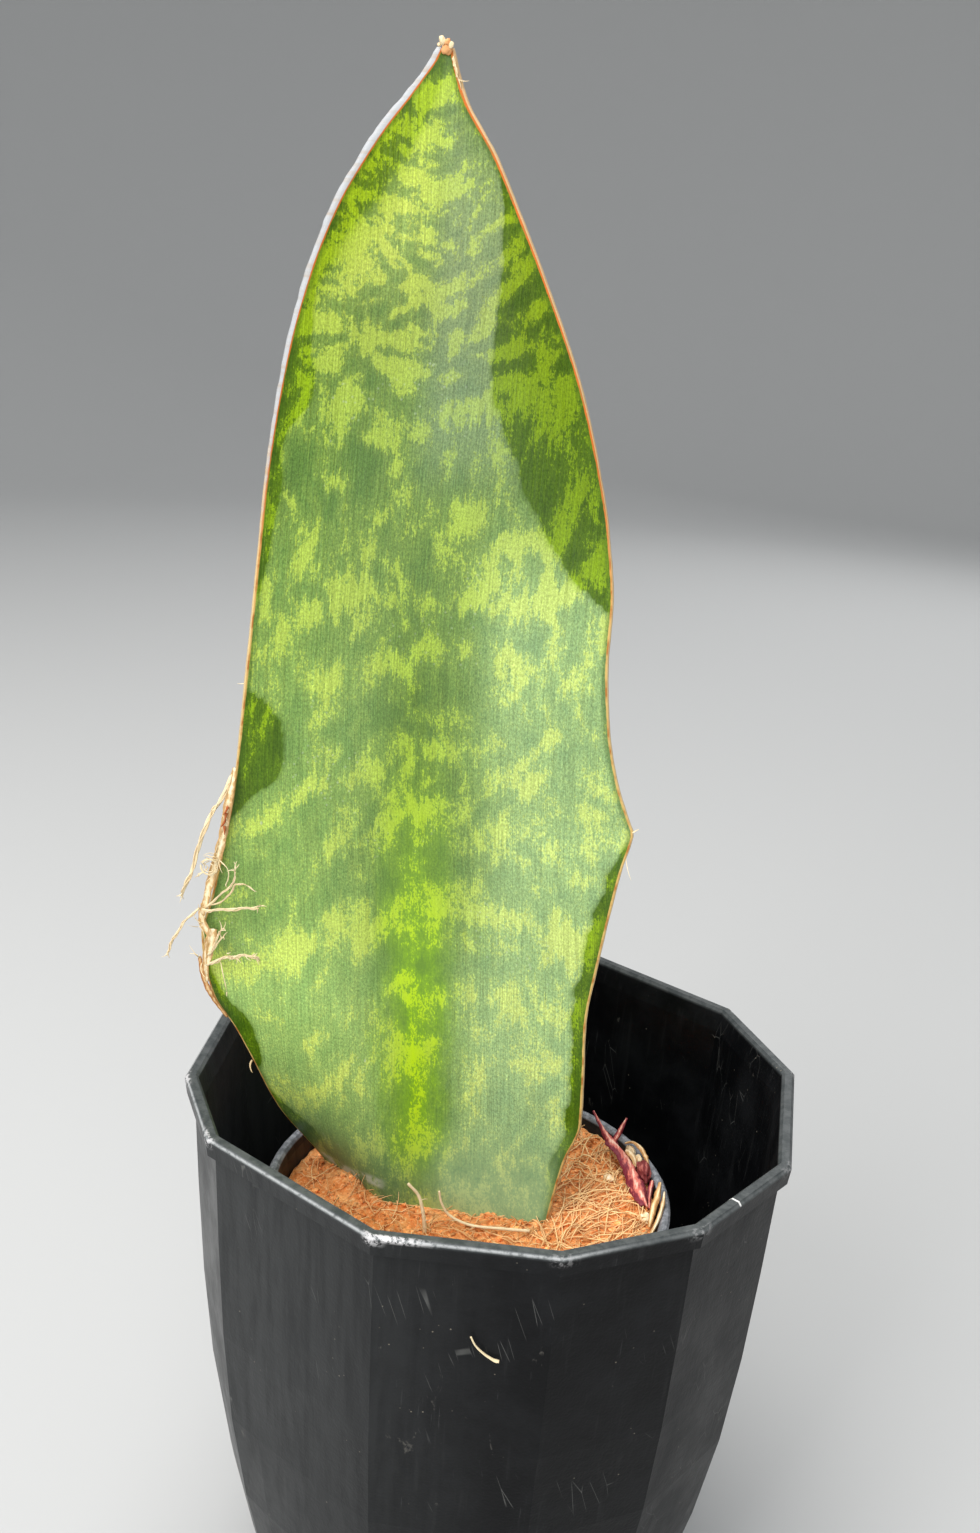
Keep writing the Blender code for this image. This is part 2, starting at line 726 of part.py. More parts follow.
def build_strands():
    for name, start, end, points in STRANDS:
        verts, faces = tube(spline(points, 5), start, end, sides=7)
        add_object(name, verts, faces, "dry_fibre", sharp_deg=70.0)


clear_scene()
build_outer_pot()
build_nursery_cup()
build_coir()
build_leaf()
build_rhizome_and_roots()
build_debris()
build_strands()
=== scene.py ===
import math
import random

import bmesh
import bpy
import numpy as np
from mathutils import Matrix, Vector, noise


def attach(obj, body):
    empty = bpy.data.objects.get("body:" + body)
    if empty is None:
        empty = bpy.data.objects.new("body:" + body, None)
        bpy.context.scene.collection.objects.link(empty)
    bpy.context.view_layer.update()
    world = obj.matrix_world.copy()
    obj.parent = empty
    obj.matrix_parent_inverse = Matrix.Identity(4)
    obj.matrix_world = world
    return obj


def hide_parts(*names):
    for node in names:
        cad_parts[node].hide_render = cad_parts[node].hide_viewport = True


MM = 0.001
dice = random.Random(20)

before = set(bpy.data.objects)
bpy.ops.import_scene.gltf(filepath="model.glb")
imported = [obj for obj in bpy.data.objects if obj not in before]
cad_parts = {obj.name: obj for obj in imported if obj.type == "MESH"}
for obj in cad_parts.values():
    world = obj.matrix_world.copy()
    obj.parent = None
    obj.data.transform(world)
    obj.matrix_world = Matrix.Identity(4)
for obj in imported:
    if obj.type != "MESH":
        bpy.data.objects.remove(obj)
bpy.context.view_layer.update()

# ---------------------------------------------------------------- dimensions, in mm

LEFT_MARGIN = (
    (90, -25, -5), (106, -35, 0), (117, -43, 5), (133, -54.5, 2), (149, -61.5, -1), (157, -65.5, -2),
    (166, -70.7, -3.5), (175, -72.8, -4.6), (183, -73.3, -5.5), (192, -71, -6.3), (206, -68.4, -6),
    (220, -66.3, -5.6), (252, -63.6, -3.4), (286, -61.6, -0.3), (317, -58.2, 4), (334.5, -54.4, 7),
    (349, -49.4, 10.3), (357, -45.4, 12.5), (364.5, -41.2, 14.5), (371.7, -36.2, 16.6),
    (377, -32.4, 17.8), (381.5, -28.8, 18.8),
)
RIGHT_MARGIN = (
    (90, 0, -13), (106, 9, -17), (116, 14.4, -18), (122, 15.2, -17.6), (135.5, 17.7, -16.4),
    (145, 20.6, -15.5), (155, 20.4, -14.5), (170, 19.8, -13), (182, 21, -11.8), (198, 23, -10.2),
    (209, 24.8, -9.1), (214.5, 26.2, -8.5), (217, 26.6, -8.3), (220, 25.4, -8), (228, 22.2, -7.2),
    (241, 19, -5.9), (258, 17.3, -4), (267, 17.4, -2.9), (284, 15.2, -0.9), (293, 13.1, 0.1),
    (313.5, 6.8, 3.3), (337, -3.5, 7.4), (349, -9.4, 10.5), (360.5, -15.4, 13.4), (371, -22.3, 16.4),
    (379, -25.6, 18.2), (381.5, -26.4, 18.8),
)
CHANNEL = (
    (90, -12, -11), (104, -17, -12.5), (117, -21, -13), (150, -23.5, -9), (195, -26.5, -2.8),
    (220, -28.3, 0.3), (252, -29.3, 4.3), (309, -27.8, 11.1), (350, -27, 16), (381.5, -27.5, 19),
)
LEAF_THICKNESS = ((90, 6.4), (117, 6), (150, 5.2), (200, 4.6), (300, 3.4), (360, 2.6), (381.5, 1.8))
LEFT_EDGE = ((90, 3), (117, 1.6), (200, 1), (300, 1.5), (330, 2.2), (381.5, 1.9))
RIGHT_EDGE = ((90, 3), (117, 1.4), (200, 0.9), (300, 1.1), (340, 1.4), (381.5, 1.4))
# How far the rounded margin stands out past the face, against height.
LEFT_RIM = (
    (90, 0.9), (117, 0.45), (250, 0.35), (290, 0.45), (325, 0.85), (355, 1.35), (370, 1.75), (381.5, 1.2),
)
RIGHT_RIM = ((90, 0.9), (117, 0.4), (300, 0.35), (335, 0.4), (375, 0.75), (381.5, 0.7))
LEFT_INSET, RIGHT_INSET = 0.35, -0.1
# The waxy bloom with a painted sheen, the reflection of a bright sky painted into the colour: its borders
# as shares of the half width, against height, and its strength.
BLOOM_SHEEN_RIGHT = (
    (98, 0.97), (140, 0.93), (195, 0.93), (212, 0.97), (222, 1.08), (262, 1.08), (267, 0.97), (276, 0.76),
    (285, 0.65), (295.4, 0.55), (314.5, 0.44), (339, 0.66), (356, 0.96), (366, 1.1),
)
BLOOM_SHEEN_LEFT = (
    (98, -0.74), (127, -0.72), (136, -0.92), (143, -1.04), (149, -0.92), (160, -0.88), (172, -0.97),
    (206, -1.05), (217, -0.92), (222, -0.75), (233, -0.72), (240, -0.86), (247, -1.05), (262, -1.02),
    (268, -0.96), (286, -0.91), (300, -0.92), (309, -0.78), (316, -0.83), (330, -0.9), (338, -0.8),
    (350, -0.62), (372, -0.35),
)
BLOOM_SHEEN_STRENGTH = (
    (98, 0.8), (122, 0.86), (150, 1), (205, 0.95), (260, 0.88), (310, 0.9), (345, 0.8), (378, 0.3),
)
THICKNESS_FALL = 1.6
FOLD_LOW, FOLD_HIGH, FOLD_SHARE = 122, 172, 0.6
LEAF_LOW, LEAF_TIP = 98, 381.5
LEAF_ROWS, LEAF_HALF = 230, 30
RIM_STEPS = 4

POT_CORNERS_DEG = (-169.2, -147.9, -108.9, -78.7, -54, -27.4, 6.4, 33.1, 69, 99.4, 129.8, 160.2)
CUP_X, CUP_Y = -5, -12.5
COIR_TOP, COIR_RISE, COIR_RISE_FROM, COIR_RISE_OVER = 117, 4.7, 2, 34
COIR_RADIUS = 45.9
# Height and radius of the fill inside the cup, below its rough top.
COIR_BODY = ((5.4, 31.8), (40, 35.9), (80, 40.8), (112, 44.7))
COIR_RINGS, COIR_SECTORS = 92, 200
CRUMBS, LOOSE_FIBRES, MAT_FIBRES, STANDING_FIBRES = 2600, 820, 170, 34

RIBBON_LANES = 9
LUMP_TINT = 0.75
# A direction that no strand follows, from which each tube's cross-section is turned.
STRAND_SIDE = Vector((0.31, 0.22, 0.92))

# Studio, in metres.
FLOOR_RADIUS, SWEEP_RADIUS, WALL_TOP = 1.9, 1.1, 2.6
SWEEP_STEPS, FLOOR_SECTORS = 16, 96
# Camera: place in mm, directions, sensor width in mm and focal length as a share of it.
CAMERA_PLACE = (-7.19, -330.69, 336.58)
CAMERA_AHEAD, CAMERA_RIGHT = (0, 0.9503, -0.3113), (0.9974, 0.0225, 0.0688)
SENSOR, FOCAL_SHARE = 36, 1500 / 1533


# ---------------------------------------------------------------- small helpers


def smooth_step(t):
    t = min(1, max(0, t))
    return t * t * (3 - 2 * t)


def along(stations, height, column=1):
    """The value at a height, by a monotone cubic through the stations."""
    last = len(stations) - 1
    if height <= stations[0][0]:
        return stations[0][column]
    if height >= stations[last][0]:
        return stations[last][column]
    slopes = [
        (stations[i + 1][column] - stations[i][column]) / (stations[i + 1][0] - stations[i][0])
        for i in range(last)
    ]
    tangents = [slopes[0]]
    for before, after in zip(slopes, slopes[1:]):
        tangents.append(2 * before * after / (before + after) if before * after > 0 else 0)
    tangents.append(slopes[-1])
    i = next(k for k in range(last) if stations[k + 1][0] >= height)
    span = stations[i + 1][0] - stations[i][0]
    t = (height - stations[i][0]) / span
    start, end = stations[i][column], stations[i + 1][column]
    lead = t * (1 - t) ** 2 * span * tangents[i]
    lag = t * t * (t - 1) * span * tangents[i + 1]
    return start + (end - start) * t * t * (3 - 2 * t) + lead + lag


def new_object(name, verts, faces, stuff, smooth=True, **attributes):
    """A mesh object from millimetre points, with its attributes on the points."""
    mesh = bpy.data.meshes.new(name)
    mesh.from_pydata([(x * MM, y * MM, z * MM) for x, y, z in verts], [], faces)
    mesh.validate()
    for key, values in attributes.items():
        values = np.asarray(values, np.float32)
        kind, field = ("FLOAT_VECTOR", "vector") if values.ndim == 2 else ("FLOAT", "value")
        mesh.attributes.new(key, kind, "POINT").data.foreach_set(field, values.ravel())
    if smooth:
        mesh.shade_smooth()
    obj = bpy.data.objects.new(name, mesh)
    bpy.context.scene.collection.objects.link(obj)
    mesh.materials.append(stuff)
    return obj


def piece(name, verts, faces, stuff, slot, node=None, smooth=True, **attributes):
    """A piece of the plant with its faces turned out; it may stand for a CAD node."""
    made = new_object(name, verts, faces, stuff, smooth, **attributes)
    shape = bmesh.new()
    shape.from_mesh(made.data)
    bmesh.ops.recalc_face_normals(shape, faces=shape.faces)
    shape.to_mesh(made.data)
    shape.free()
    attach(made, "root")
    if node:
        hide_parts(node)


def quads(rows, count, base=0):
    """The faces between neighbouring closed rings of points."""
    return [
        (a + k, a + (k + 1) % count, a + count + (k + 1) % count, a + count + k)
        for a in range(base, base + (rows - 1) * count, count)
        for k in range(count)
    ]


class Strands:
    """Many thin closed tubes gathered into one mesh."""

    def __init__(self):
        self.verts, self.faces, self.tint = [], [], []

    def add(self, path, radii, tint, sides=5, flatten=1):
        base, last = len(self.verts), len(path) - 1
        for i, point in enumerate(path):
            ahead = (path[min(last, i + 1)] - path[max(0, i - 1)]).normalized()
            across = ahead.cross(STRAND_SIDE)
            if across.length < 1e-3:
                across = ahead.cross(Vector((1, 0, 0)))
            across.normalize()
            over = across.cross(ahead).normalized() * flatten
            for k in range(sides):
                turn = math.tau * k / sides
                self.verts.append(point + (across * math.cos(turn) + over * math.sin(turn)) * radii[i])
        self.tint += [tint] * (sides * len(path))
        self.faces += quads(len(path), sides, base)
        self.faces.append(tuple(base + k for k in range(sides))[::-1])
        self.faces.append(tuple(base + last * sides + k for k in range(sides)))

    def build(self, name, stuff, slot="dry_fibre", node=None):
        piece(name, self.verts, self.faces, stuff, slot, node, tint=self.tint)


def spline(points, per_span):
    """A smooth curve through the points."""
    path = [Vector(p) for p in points]
    path = [path[0] * 2 - path[1]] + path + [path[-1] * 2 - path[-2]]
    found = []
    for a, b, c, d in zip(path, path[1:], path[2:], path[3:]):
        for step in range(per_span):
            t = step / per_span
            curve = 2 * b + (c - a) * t + (2 * a - 5 * b + 4 * c - d) * t * t
            found.append(0.5 * (curve + (3 * b - a - 3 * c + d) * t**3))
    return found + [path[-2].copy()]


# ---------------------------------------------------------------- materials


class Value:
    """A node's output, for use in plain formulas."""

    def __init__(self, stuff, socket):
        self.stuff, self.socket = stuff, socket

    def __add__(self, other):
        return self.stuff.math("ADD", self, other)

    def __sub__(self, other):
        return self.stuff.math("SUBTRACT", self, other)

    def __mul__(self, other):
        return self.stuff.math("MULTIPLY", self, other)

    def __abs__(self):
        return self.stuff.math("ABSOLUTE", self)


class Stuff:
    """A Principled material and short ways to add nodes to it."""

    def __init__(self, name, **settings):
        self.material = bpy.data.materials.new(name)
        self.material.use_nodes = True
        self.tree = self.material.node_tree
        self.shader = self.tree.nodes["Principled BSDF"]
        for key, value in settings.items():
            self.put(key.replace("_", " "), value)

    def put(self, socket, value):
        names = {s.name.lower(): s for s in self.shader.inputs}
        self.feed(names[socket], value)

    def feed(self, socket, value):
        if isinstance(value, Value):
            self.tree.links.new(value.socket, socket)
        elif socket.type == "RGBA":
            socket.default_value = (*value, 1)
        else:
            socket.default_value = value

    def node(self, kind, inputs, output=0, **fields):
        made = self.tree.nodes.new(kind)
        for key, value in fields.items():
            setattr(made, key, value)
        for key, value in inputs.items():
            self.feed(made.inputs[key], value)
        return Value(self, made.outputs[output])

    def math(self, operation, a, b=0, c=0, clamp=False):
        return self.node("ShaderNodeMath", {0: a, 1: b, 2: c}, operation=operation, use_clamp=clamp)

    def attribute(self, name, output="Fac"):
        return self.node("ShaderNodeAttribute", {}, output, attribute_name=name)

    def split(self, vector):
        first = self.node("ShaderNodeSeparateXYZ", {0: vector})
        return [Value(self, socket) for socket in first.socket.node.outputs]

    def join(self, x, y, z=0):
        return self.node("ShaderNodeCombineXYZ", {0: x, 1: y, 2: z})

    def noise(self, vector, scale, detail=2, roughness=0.5, distortion=0):
        inputs = {"Vector": vector, "Scale": scale, "Detail": detail, "Roughness": roughness}
        inputs["Distortion"] = distortion
        return self.node("ShaderNodeTexNoise", inputs, "Fac")

    def cells(self, vector, scale, feature="F1"):
        inputs = {"Vector": vector, "Scale": scale}
        return self.node("ShaderNodeTexVoronoi", inputs, "Distance", feature=feature)

    def ramp(self, value, low, high, to_low=0, to_high=1, smooth=True):
        inputs = {"Value": value, "From Min": low, "From Max": high, "To Min": to_low, "To Max": to_high}
        kind = "SMOOTHSTEP" if smooth else "LINEAR"
        return self.node("ShaderNodeMapRange", inputs, "Result", interpolation_type=kind)

    def mix(self, share, a, b, blend="MIX"):
        inputs = {"Factor": share, 6: a, 7: b}
        return self.node("ShaderNodeMix", inputs, 2, data_type="RGBA", blend_type=blend)

    def bump(self, height, distance, **normal):
        return self.node(
            "ShaderNodeBump", {"Height": height, "Distance": distance, "Strength": 1, **normal}
        )

    def position(self):
        """The place in millimetres."""
        where = self.node("ShaderNodeTexCoord", {}, "Object")
        return self.node("ShaderNodeVectorMath", {0: where, "Scale": 1 / MM}, operation="SCALE")


def leaf_stuff():
    s = Stuff("leaf_skin", specular_ior_level=0.22)
    place = s.attribute("leaf_mm", "Vector")
    u, v, side = s.split(place)
    edge = s.attribute("edge_mm")
    rim = s.attribute("rim")
    bloom_and_sheen = s.attribute("bloom_and_sheen")

    def stretched(across, lengthwise, detail, roughness):
        vector = s.join(u * across, v * lengthwise, side)
        return s.noise(vector, 1, detail, roughness)

    def centred(value, gain):
        return (value - 0.5) * gain

    # Blotches with ragged, streaky edges, gathered in loose cross bands that climb towards the margins.
    stripe = centred(stretched(0.9, 0.05, 2, 0.6), 8) + centred(stretched(3.2, 0.25, 2, 0.6), 5)
    stripe = stripe * s.ramp(v, 300, 345, 1, 0.3)
    leftward, rightward = s.math("MAXIMUM", u * -1, 0), s.math("MAXIMUM", u, 0)
    climb = leftward * s.ramp(v, 215, 348, 0.55, -0.35, smooth=False)
    climb = rightward * s.ramp(v, 290, 348, 0, -1, smooth=False) + climb
    squeeze = s.ramp(v, 312, 382, 0, 62, smooth=False)
    sway = centred(s.noise(place, 0.09, 1), 9)
    u2 = u + sway
    v2 = v + climb + (stripe + squeeze)
    large = s.noise(s.join(u2 * 0.136, v2 * 0.098, side), 1, 1, 0.5)
    small = s.noise(s.join(u2 * 0.3, v2 * 0.19, side), 1, 2, 0.6)
    band = s.noise(s.join(u * 0.01, v2 * 0.08, side), 1, 0.5)
    clots = stretched(1.05, 0.6, 2, 0.6)
    grain = stretched(2.3, 1.35, 3, 0.7)
    # The channel low down is fresher, yellower and more often lime.
    off_channel = abs(u - 4 + centred(stretched(0.16, 0.035, 4, 0.65), 16))
    channel = s.ramp(off_channel, 0, 13, 1, 0) * s.ramp(v, 165, 250, 1, 0)
    channel = channel * s.ramp(v, 117, 136, 0, 0.95)
    value = centred(large, 1.05) * s.ramp(v, 165, 255, 0.72, 1) + centred(small, 0.66)
    value = value + centred(band, 0.5) * s.ramp(v, 165, 255, 1.35, 1)
    upper = s.ramp(v, 225, 290)
    grains = centred(grain, 0.74) * (upper * -0.25 + 1)
    value = value + (centred(clots, 0.4) + grains)
    value = value + s.ramp(v, 290, 345) * s.ramp(u, -6, 12, 0.1, 0.03)
    value = channel * 0.06 + value
    edge_strip = s.ramp(u, 8, 15) * s.ramp(v, 250, 285)
    value = edge_strip * 0.055 + value
    shade = s.ramp(value, -0.26, 0.08, smooth=False)
    lime = s.ramp(value, 0.045, upper * -0.045 + 0.17)

    def tones(dark, middle, bright):
        return s.mix(lime, s.mix(shade, dark, middle), bright)

    depth = s.ramp(s.noise(place, 0.03, 2), 0.35, 0.65)
    dark = s.mix(depth, (0.034, 0.078, 0.003), (0.046, 0.095, 0.005))
    colour = tones(dark, (0.082, 0.15, 0.006), (0.188, 0.3, 0.006))
    # Painted shade: the side right of the channel is darkened in the upper part of the leaf.
    right_painted_shade = s.ramp(u, 8, 15) * s.ramp(v, 262, 300, 0, 0.26)
    colour = s.mix(right_painted_shade, colour, (0.01, 0.03, 0))
    # Painted sheen: the reflection of a bright sky is painted into the colour as pale tones over the waxy
    # bloom, brighter low down and on the right, and grainy with painted glints.
    painted_sky_sheen = s.attribute("painted_sky_sheen")
    far = tones((0.098, 0.182, 0.04), (0.16, 0.246, 0.05), (0.295, 0.395, 0.062))
    near_left = tones((0.25, 0.405, 0.122), (0.35, 0.5, 0.146), (0.54, 0.645, 0.15))
    near_right = tones((0.258, 0.396, 0.182), (0.356, 0.496, 0.206), (0.545, 0.645, 0.204))
    near = s.mix(s.ramp(u, 0, 26), near_left, near_right)
    haze = tones((0.145, 0.215, 0.108), (0.185, 0.256, 0.12), (0.255, 0.34, 0.104))
    pale = s.mix(painted_sky_sheen, far, near)
    pale = s.mix(s.ramp(v, 284, 308) * s.ramp(u, -5, 5, 0, 0.9), pale, haze)
    ragged = bloom_and_sheen + centred(stretched(0.5, 0.1, 3, 0.6), 0.28)
    bloom_and_sheen_veil = s.ramp(ragged, 0.22, 0.42) * s.ramp(bloom_and_sheen, 0, 1, 0, 1, smooth=False)
    bloom_and_sheen_veil = bloom_and_sheen_veil * s.ramp(stretched(3.6, 2.2, 2, 0.7), 0.32, 0.62, 0.66, 1)
    colour = s.mix(bloom_and_sheen_veil, colour, pale)
    light = s.ramp(stretched(2.9, 0.05, 3, 0.7), 0.3, 0.7, 0.8, 1.19)
    light = light * s.ramp(stretched(2.2, 1.45, 3, 0.75), 0.3, 0.7, 0.74, 1.29)
    light = light * s.ramp(v, 325, 372, 1, 1.36)
    light = light * s.ramp(u, -28, -8, 1.27, 1)
    warm = light * s.ramp(v, 300, 345, 1, 1.1)
    colour = s.mix(1, colour, s.join(warm, light, light), "MULTIPLY")
    fresh = tones((0.12, 0.24, 0.022), (0.195, 0.37, 0.012), (0.42, 0.62, 0.006))
    colour = s.mix(channel, colour, fresh)
    # Painted shade and sheen at the foot: dark under the fold left of the channel, pale with a painted
    # reflection right of it.
    foot_shade_and_sheen = s.ramp(v, 119, 148, 0.92, 0) * s.ramp(off_channel, 1, 9, 0.45, 1)
    foot_painted_shade = tones((0.07, 0.145, 0.066), (0.115, 0.215, 0.085), (0.22, 0.34, 0.11))
    foot_painted_sheen = tones((0.2, 0.35, 0.188), (0.305, 0.465, 0.23), (0.4, 0.555, 0.26))
    colour = s.mix(foot_shade_and_sheen, colour, s.mix(s.ramp(u, -3, 13), foot_painted_shade, foot_painted_sheen))
    # A painted highlight: where the skin rolls under at the foot against the fill on the left, its shine is
    # painted as a pale band.
    sag = s.ramp(u, -22, -6) * -2.6 + v
    painted_glint = s.ramp(sag, 118.4, 119.6) * s.ramp(sag, 122.4, 120.8)
    painted_glint = painted_glint * (s.ramp(u, -3, -7) * s.ramp(s.noise(place, 0.3, 3, 0.7), 0.4, 0.56))
    colour = s.mix(painted_glint * 0.75, colour, (0.46, 0.54, 0.45))

    # Margin: orange-brown, thin, straw-coloured low down; pale dry tissue on the rim near the tip.
    wobble = s.noise(s.join(v * 0.35, side, u), 1, 2)
    width = wobble * 0.36 + 0.04
    line = s.ramp(edge - width, -0.1, 0.1, 1, 0)
    hem = s.ramp(edge - width, 0.2, 1.6, 0.55, 0)
    colour = s.mix(hem, colour, (0.035, 0.085, 0.005))
    high = s.ramp(v, 255, 305)
    orange = s.mix(high, (0.58, 0.38, 0.12), (0.54, 0.135, 0.018))
    orange = s.mix(s.ramp(s.noise(s.join(v, 0, side), 0.22, 3), 0.45, 0.62), orange, (0.4, 0.15, 0.03))
    colour = s.mix(line, colour, orange)
    colour = s.mix(s.ramp(rim, 0.35, 0.7) * 0.8, colour, (0.6, 0.46, 0.25))
    dry = s.mix(s.ramp(s.noise(place, 0.5, 3), 0.45, 0.75), (0.42, 0.43, 0.44), (0.38, 0.32, 0.26))
    dry_from = wobble * 30 + v - s.ramp(u, 0, 1, 0, 120)
    rim_mask = s.ramp(rim, 0.05, 0.2) * s.ramp(dry_from, 292, 328)
    colour = s.mix(rim_mask, colour, dry)
    # Pale scars, water spots and specks of dust.
    speck = s.ramp(s.cells(s.join(u, v * 0.6, side), 0.16), 0.03, 0.055, 1, 0)
    speck = speck * s.ramp(s.noise(place, 0.045, 1), 0.56, 0.62)
    spots = s.ramp(s.cells(s.join(u, v, side), 0.62), 0.1, 0.22, 1, 0)
    spots = spots * s.ramp(s.noise(place, 0.03, 2), 0.55, 0.64)
    spots = spots * bloom_and_sheen_veil
    colour = s.mix(s.math("MAXIMUM", speck * 0.6, spots * 0.45), colour, (0.42, 0.5, 0.34))
    s.put("base color", colour)

    rough = s.ramp(stretched(0.5, 0.12, 3, 0.5), 0.3, 0.7, 0.3, 0.4)
    rough = rough + s.math("MAXIMUM", line, rim_mask) * 0.3
    s.put("roughness", rough)
    normal = s.bump(stretched(1.5, 0.012, 2, 0.55), 0.00011)
    normal = s.bump(stretched(3, 1.6, 3, 0.6), 0.00005, Normal=normal)
    s.put("normal", normal)
    return s.material


def fibre_stuff(name, dark, light, rough=0.75):
    s = Stuff(name, roughness=rough, specular_ior_level=0.3)
    tint = s.attribute("tint")
    place = s.position()
    vary = s.noise(place, 0.9, 3)
    share = s.math("MULTIPLY_ADD", vary - 0.5, 0.5, tint, clamp=True)
    s.put("base color", s.mix(share, dark, light))
    s.put("normal", s.bump(s.noise(place, 3, 2), 0.00008))
    return s.material


def coir_stuff():
    s = Stuff("coir_crumb", roughness=0.95, specular_ior_level=0.15)
    place = s.position()
    tint = s.attribute("tint")
    clump = s.noise(place, 0.16, 4, 0.6)
    grit = s.noise(place, 1.3, 4, 0.7)
    base = s.mix(s.ramp(clump, 0.35, 0.65), (0.74, 0.235, 0.06), (0.96, 0.43, 0.15))
    base = s.mix(s.ramp(grit, 0.5, 0.72), base, (1, 0.63, 0.3))
    base = s.mix(s.ramp(grit, 0.42, 0.28), base, (0.26, 0.07, 0.018))
    shade = s.ramp(tint, 0, 1, 0.45, 1.35, smooth=False)
    s.put("base color", s.mix(1, base, s.join(shade, shade, shade), "MULTIPLY"))
    s.put("normal", s.bump(grit, 0.0004))
    return s.material


def pot_stuff():
    s = Stuff("pot_plastic", specular_ior_level=0.13)
    place = s.position()
    x, y, z = s.split(place)
    away = s.math("SQRT", x * x + y * y)
    dust = s.noise(place, 0.05, 5, 0.65)
    fine = s.noise(place, 0.9, 4, 0.7)

    def drawn(across, upward, detail=3, roughness=0.6, distortion=0):
        vector = s.join(x * across, y * across, z * upward)
        return s.noise(vector, 1, detail, roughness, distortion)

    base = s.mix(s.ramp(dust, 0.4, 0.72), (0.003, 0.0032, 0.0037), (0.0085, 0.009, 0.01))
    base = s.mix(s.ramp(drawn(0.5, 0.02), 0.55, 0.75) * 0.5, base, (0.016, 0.0165, 0.017))
    # Painted reflection: the left side is painted lighter, in streaks up and down.
    left_painted_sheen = s.ramp(x, 14, -58) * s.ramp(drawn(0.35, 0.03, 4), 0.3, 0.62, 0.6, 1)
    base = s.mix(left_painted_sheen, base, (0.034, 0.0355, 0.036))
    # Dried dabs, runs and scratches.
    dab = s.ramp(drawn(0.16, 0.075, 4, 0.7, 0.6), 0.665, 0.71) * s.ramp(fine, 0.4, 0.6)
    base = s.mix(dab * 0.5, base, (0.115, 0.108, 0.095))
    runs = s.ramp(drawn(1.1, 0.03, 3, 0.7), 0.64, 0.72) * s.ramp(s.noise(place, 0.06, 2), 0.5, 0.62)
    base = s.mix(runs * 0.35, base, (0.06, 0.061, 0.062))
    slant = s.join(x + z * 0.35, y, z * 0.06)
    scratch = s.ramp(s.cells(slant, 0.3, "DISTANCE_TO_EDGE"), 0.006, 0.014, 1, 0)
    scratch = scratch * s.ramp(s.noise(place, 0.07, 2), 0.6, 0.68)
    base = s.mix(scratch * 0.45, base, (0.16, 0.16, 0.15))
    # The lip is painted greyer, scuffed and with a painted highlight on its top, and pale along its outer
    # edge from wear and a painted edge highlight.
    lip = s.ramp(z, 148.5, 149.5)
    rub = s.ramp(s.noise(place, 0.3, 4, 0.7), 0.38, 0.62)
    base = s.mix(lip, base, s.mix(rub, (0.046, 0.052, 0.053), (0.082, 0.088, 0.088)))
    # Distance out to the twelve-sided lip: the greatest reach over the side directions.
    reach = None
    for first, second in zip(POT_CORNERS_DEG, POT_CORNERS_DEG[1:] + (POT_CORNERS_DEG[0] + 360,)):
        middle, half = math.radians((first + second) / 2), math.radians((second - first) / 2)
        gain = 1 / math.cos(half)
        out = x * (math.cos(middle) * gain) + y * (math.sin(middle) * gain)
        reach = out if reach is None else s.math("MAXIMUM", reach, out)
    edge_line = s.ramp(reach, 75.35, 75.75) * s.ramp(z, 149.1, 149.6)
    wear_and_highlight = s.ramp(s.noise(place, 0.9, 4, 0.7), 0.3, 0.55, 0.3, 1) * s.ramp(x, 12, 34, 1, 0.12)
    base = s.mix(edge_line * wear_and_highlight, base, (0.38, 0.39, 0.39))
    corner = s.ramp(away - reach, -0.9, -0.2, 0, 1) * s.ramp(reach, 74.6, 75.3)
    corner = corner * s.ramp(z, 147, 148.8) * s.ramp(fine, 0.46, 0.58)
    corner = corner * s.ramp(x, -15, 10, 1, 0.3)
    # The scuff that runs along the front lip from its left-hand corner.
    scuff = s.ramp(reach, 74.7, 75.5) * s.ramp(z, 148.4, 149.4)
    scuff = scuff * (s.ramp(x, -26.5, -24.5) * s.ramp(x, -9, -20))
    scuff = scuff * (s.ramp(y, -60, -65) * s.ramp(fine, 0.4, 0.52))
    base = s.mix(scuff, base, (0.62, 0.6, 0.6))
    base = s.mix(corner, base, (0.5, 0.49, 0.49))
    # A short bright nick across the lip on the right.
    beside = abs(x * 0.653 + (y * 0.757 + 3.31))
    nick = s.ramp(beside, 0.18, 0.34, 1, 0) * (s.ramp(x, 40, 42) * s.ramp(z, 149, 149.5))
    base = s.mix(nick, base, (0.8, 0.79, 0.76))
    specks = s.ramp(s.cells(place, 0.45), 0.06, 0.1, 1, 0)
    specks = specks * s.ramp(s.noise(place, 0.12, 1), 0.6, 0.66)
    base = s.mix(specks * 0.6, base, (0.26, 0.23, 0.18))
    s.put("base color", base)
    s.put("roughness", s.ramp(dust, 0.3, 0.7, 0.3, 0.46) + lip * 0.08)
    s.put("normal", s.bump(s.noise(place, 1.6, 3), 0.00003, Normal=s.bump(dust, 0.0003)))
    return s.material


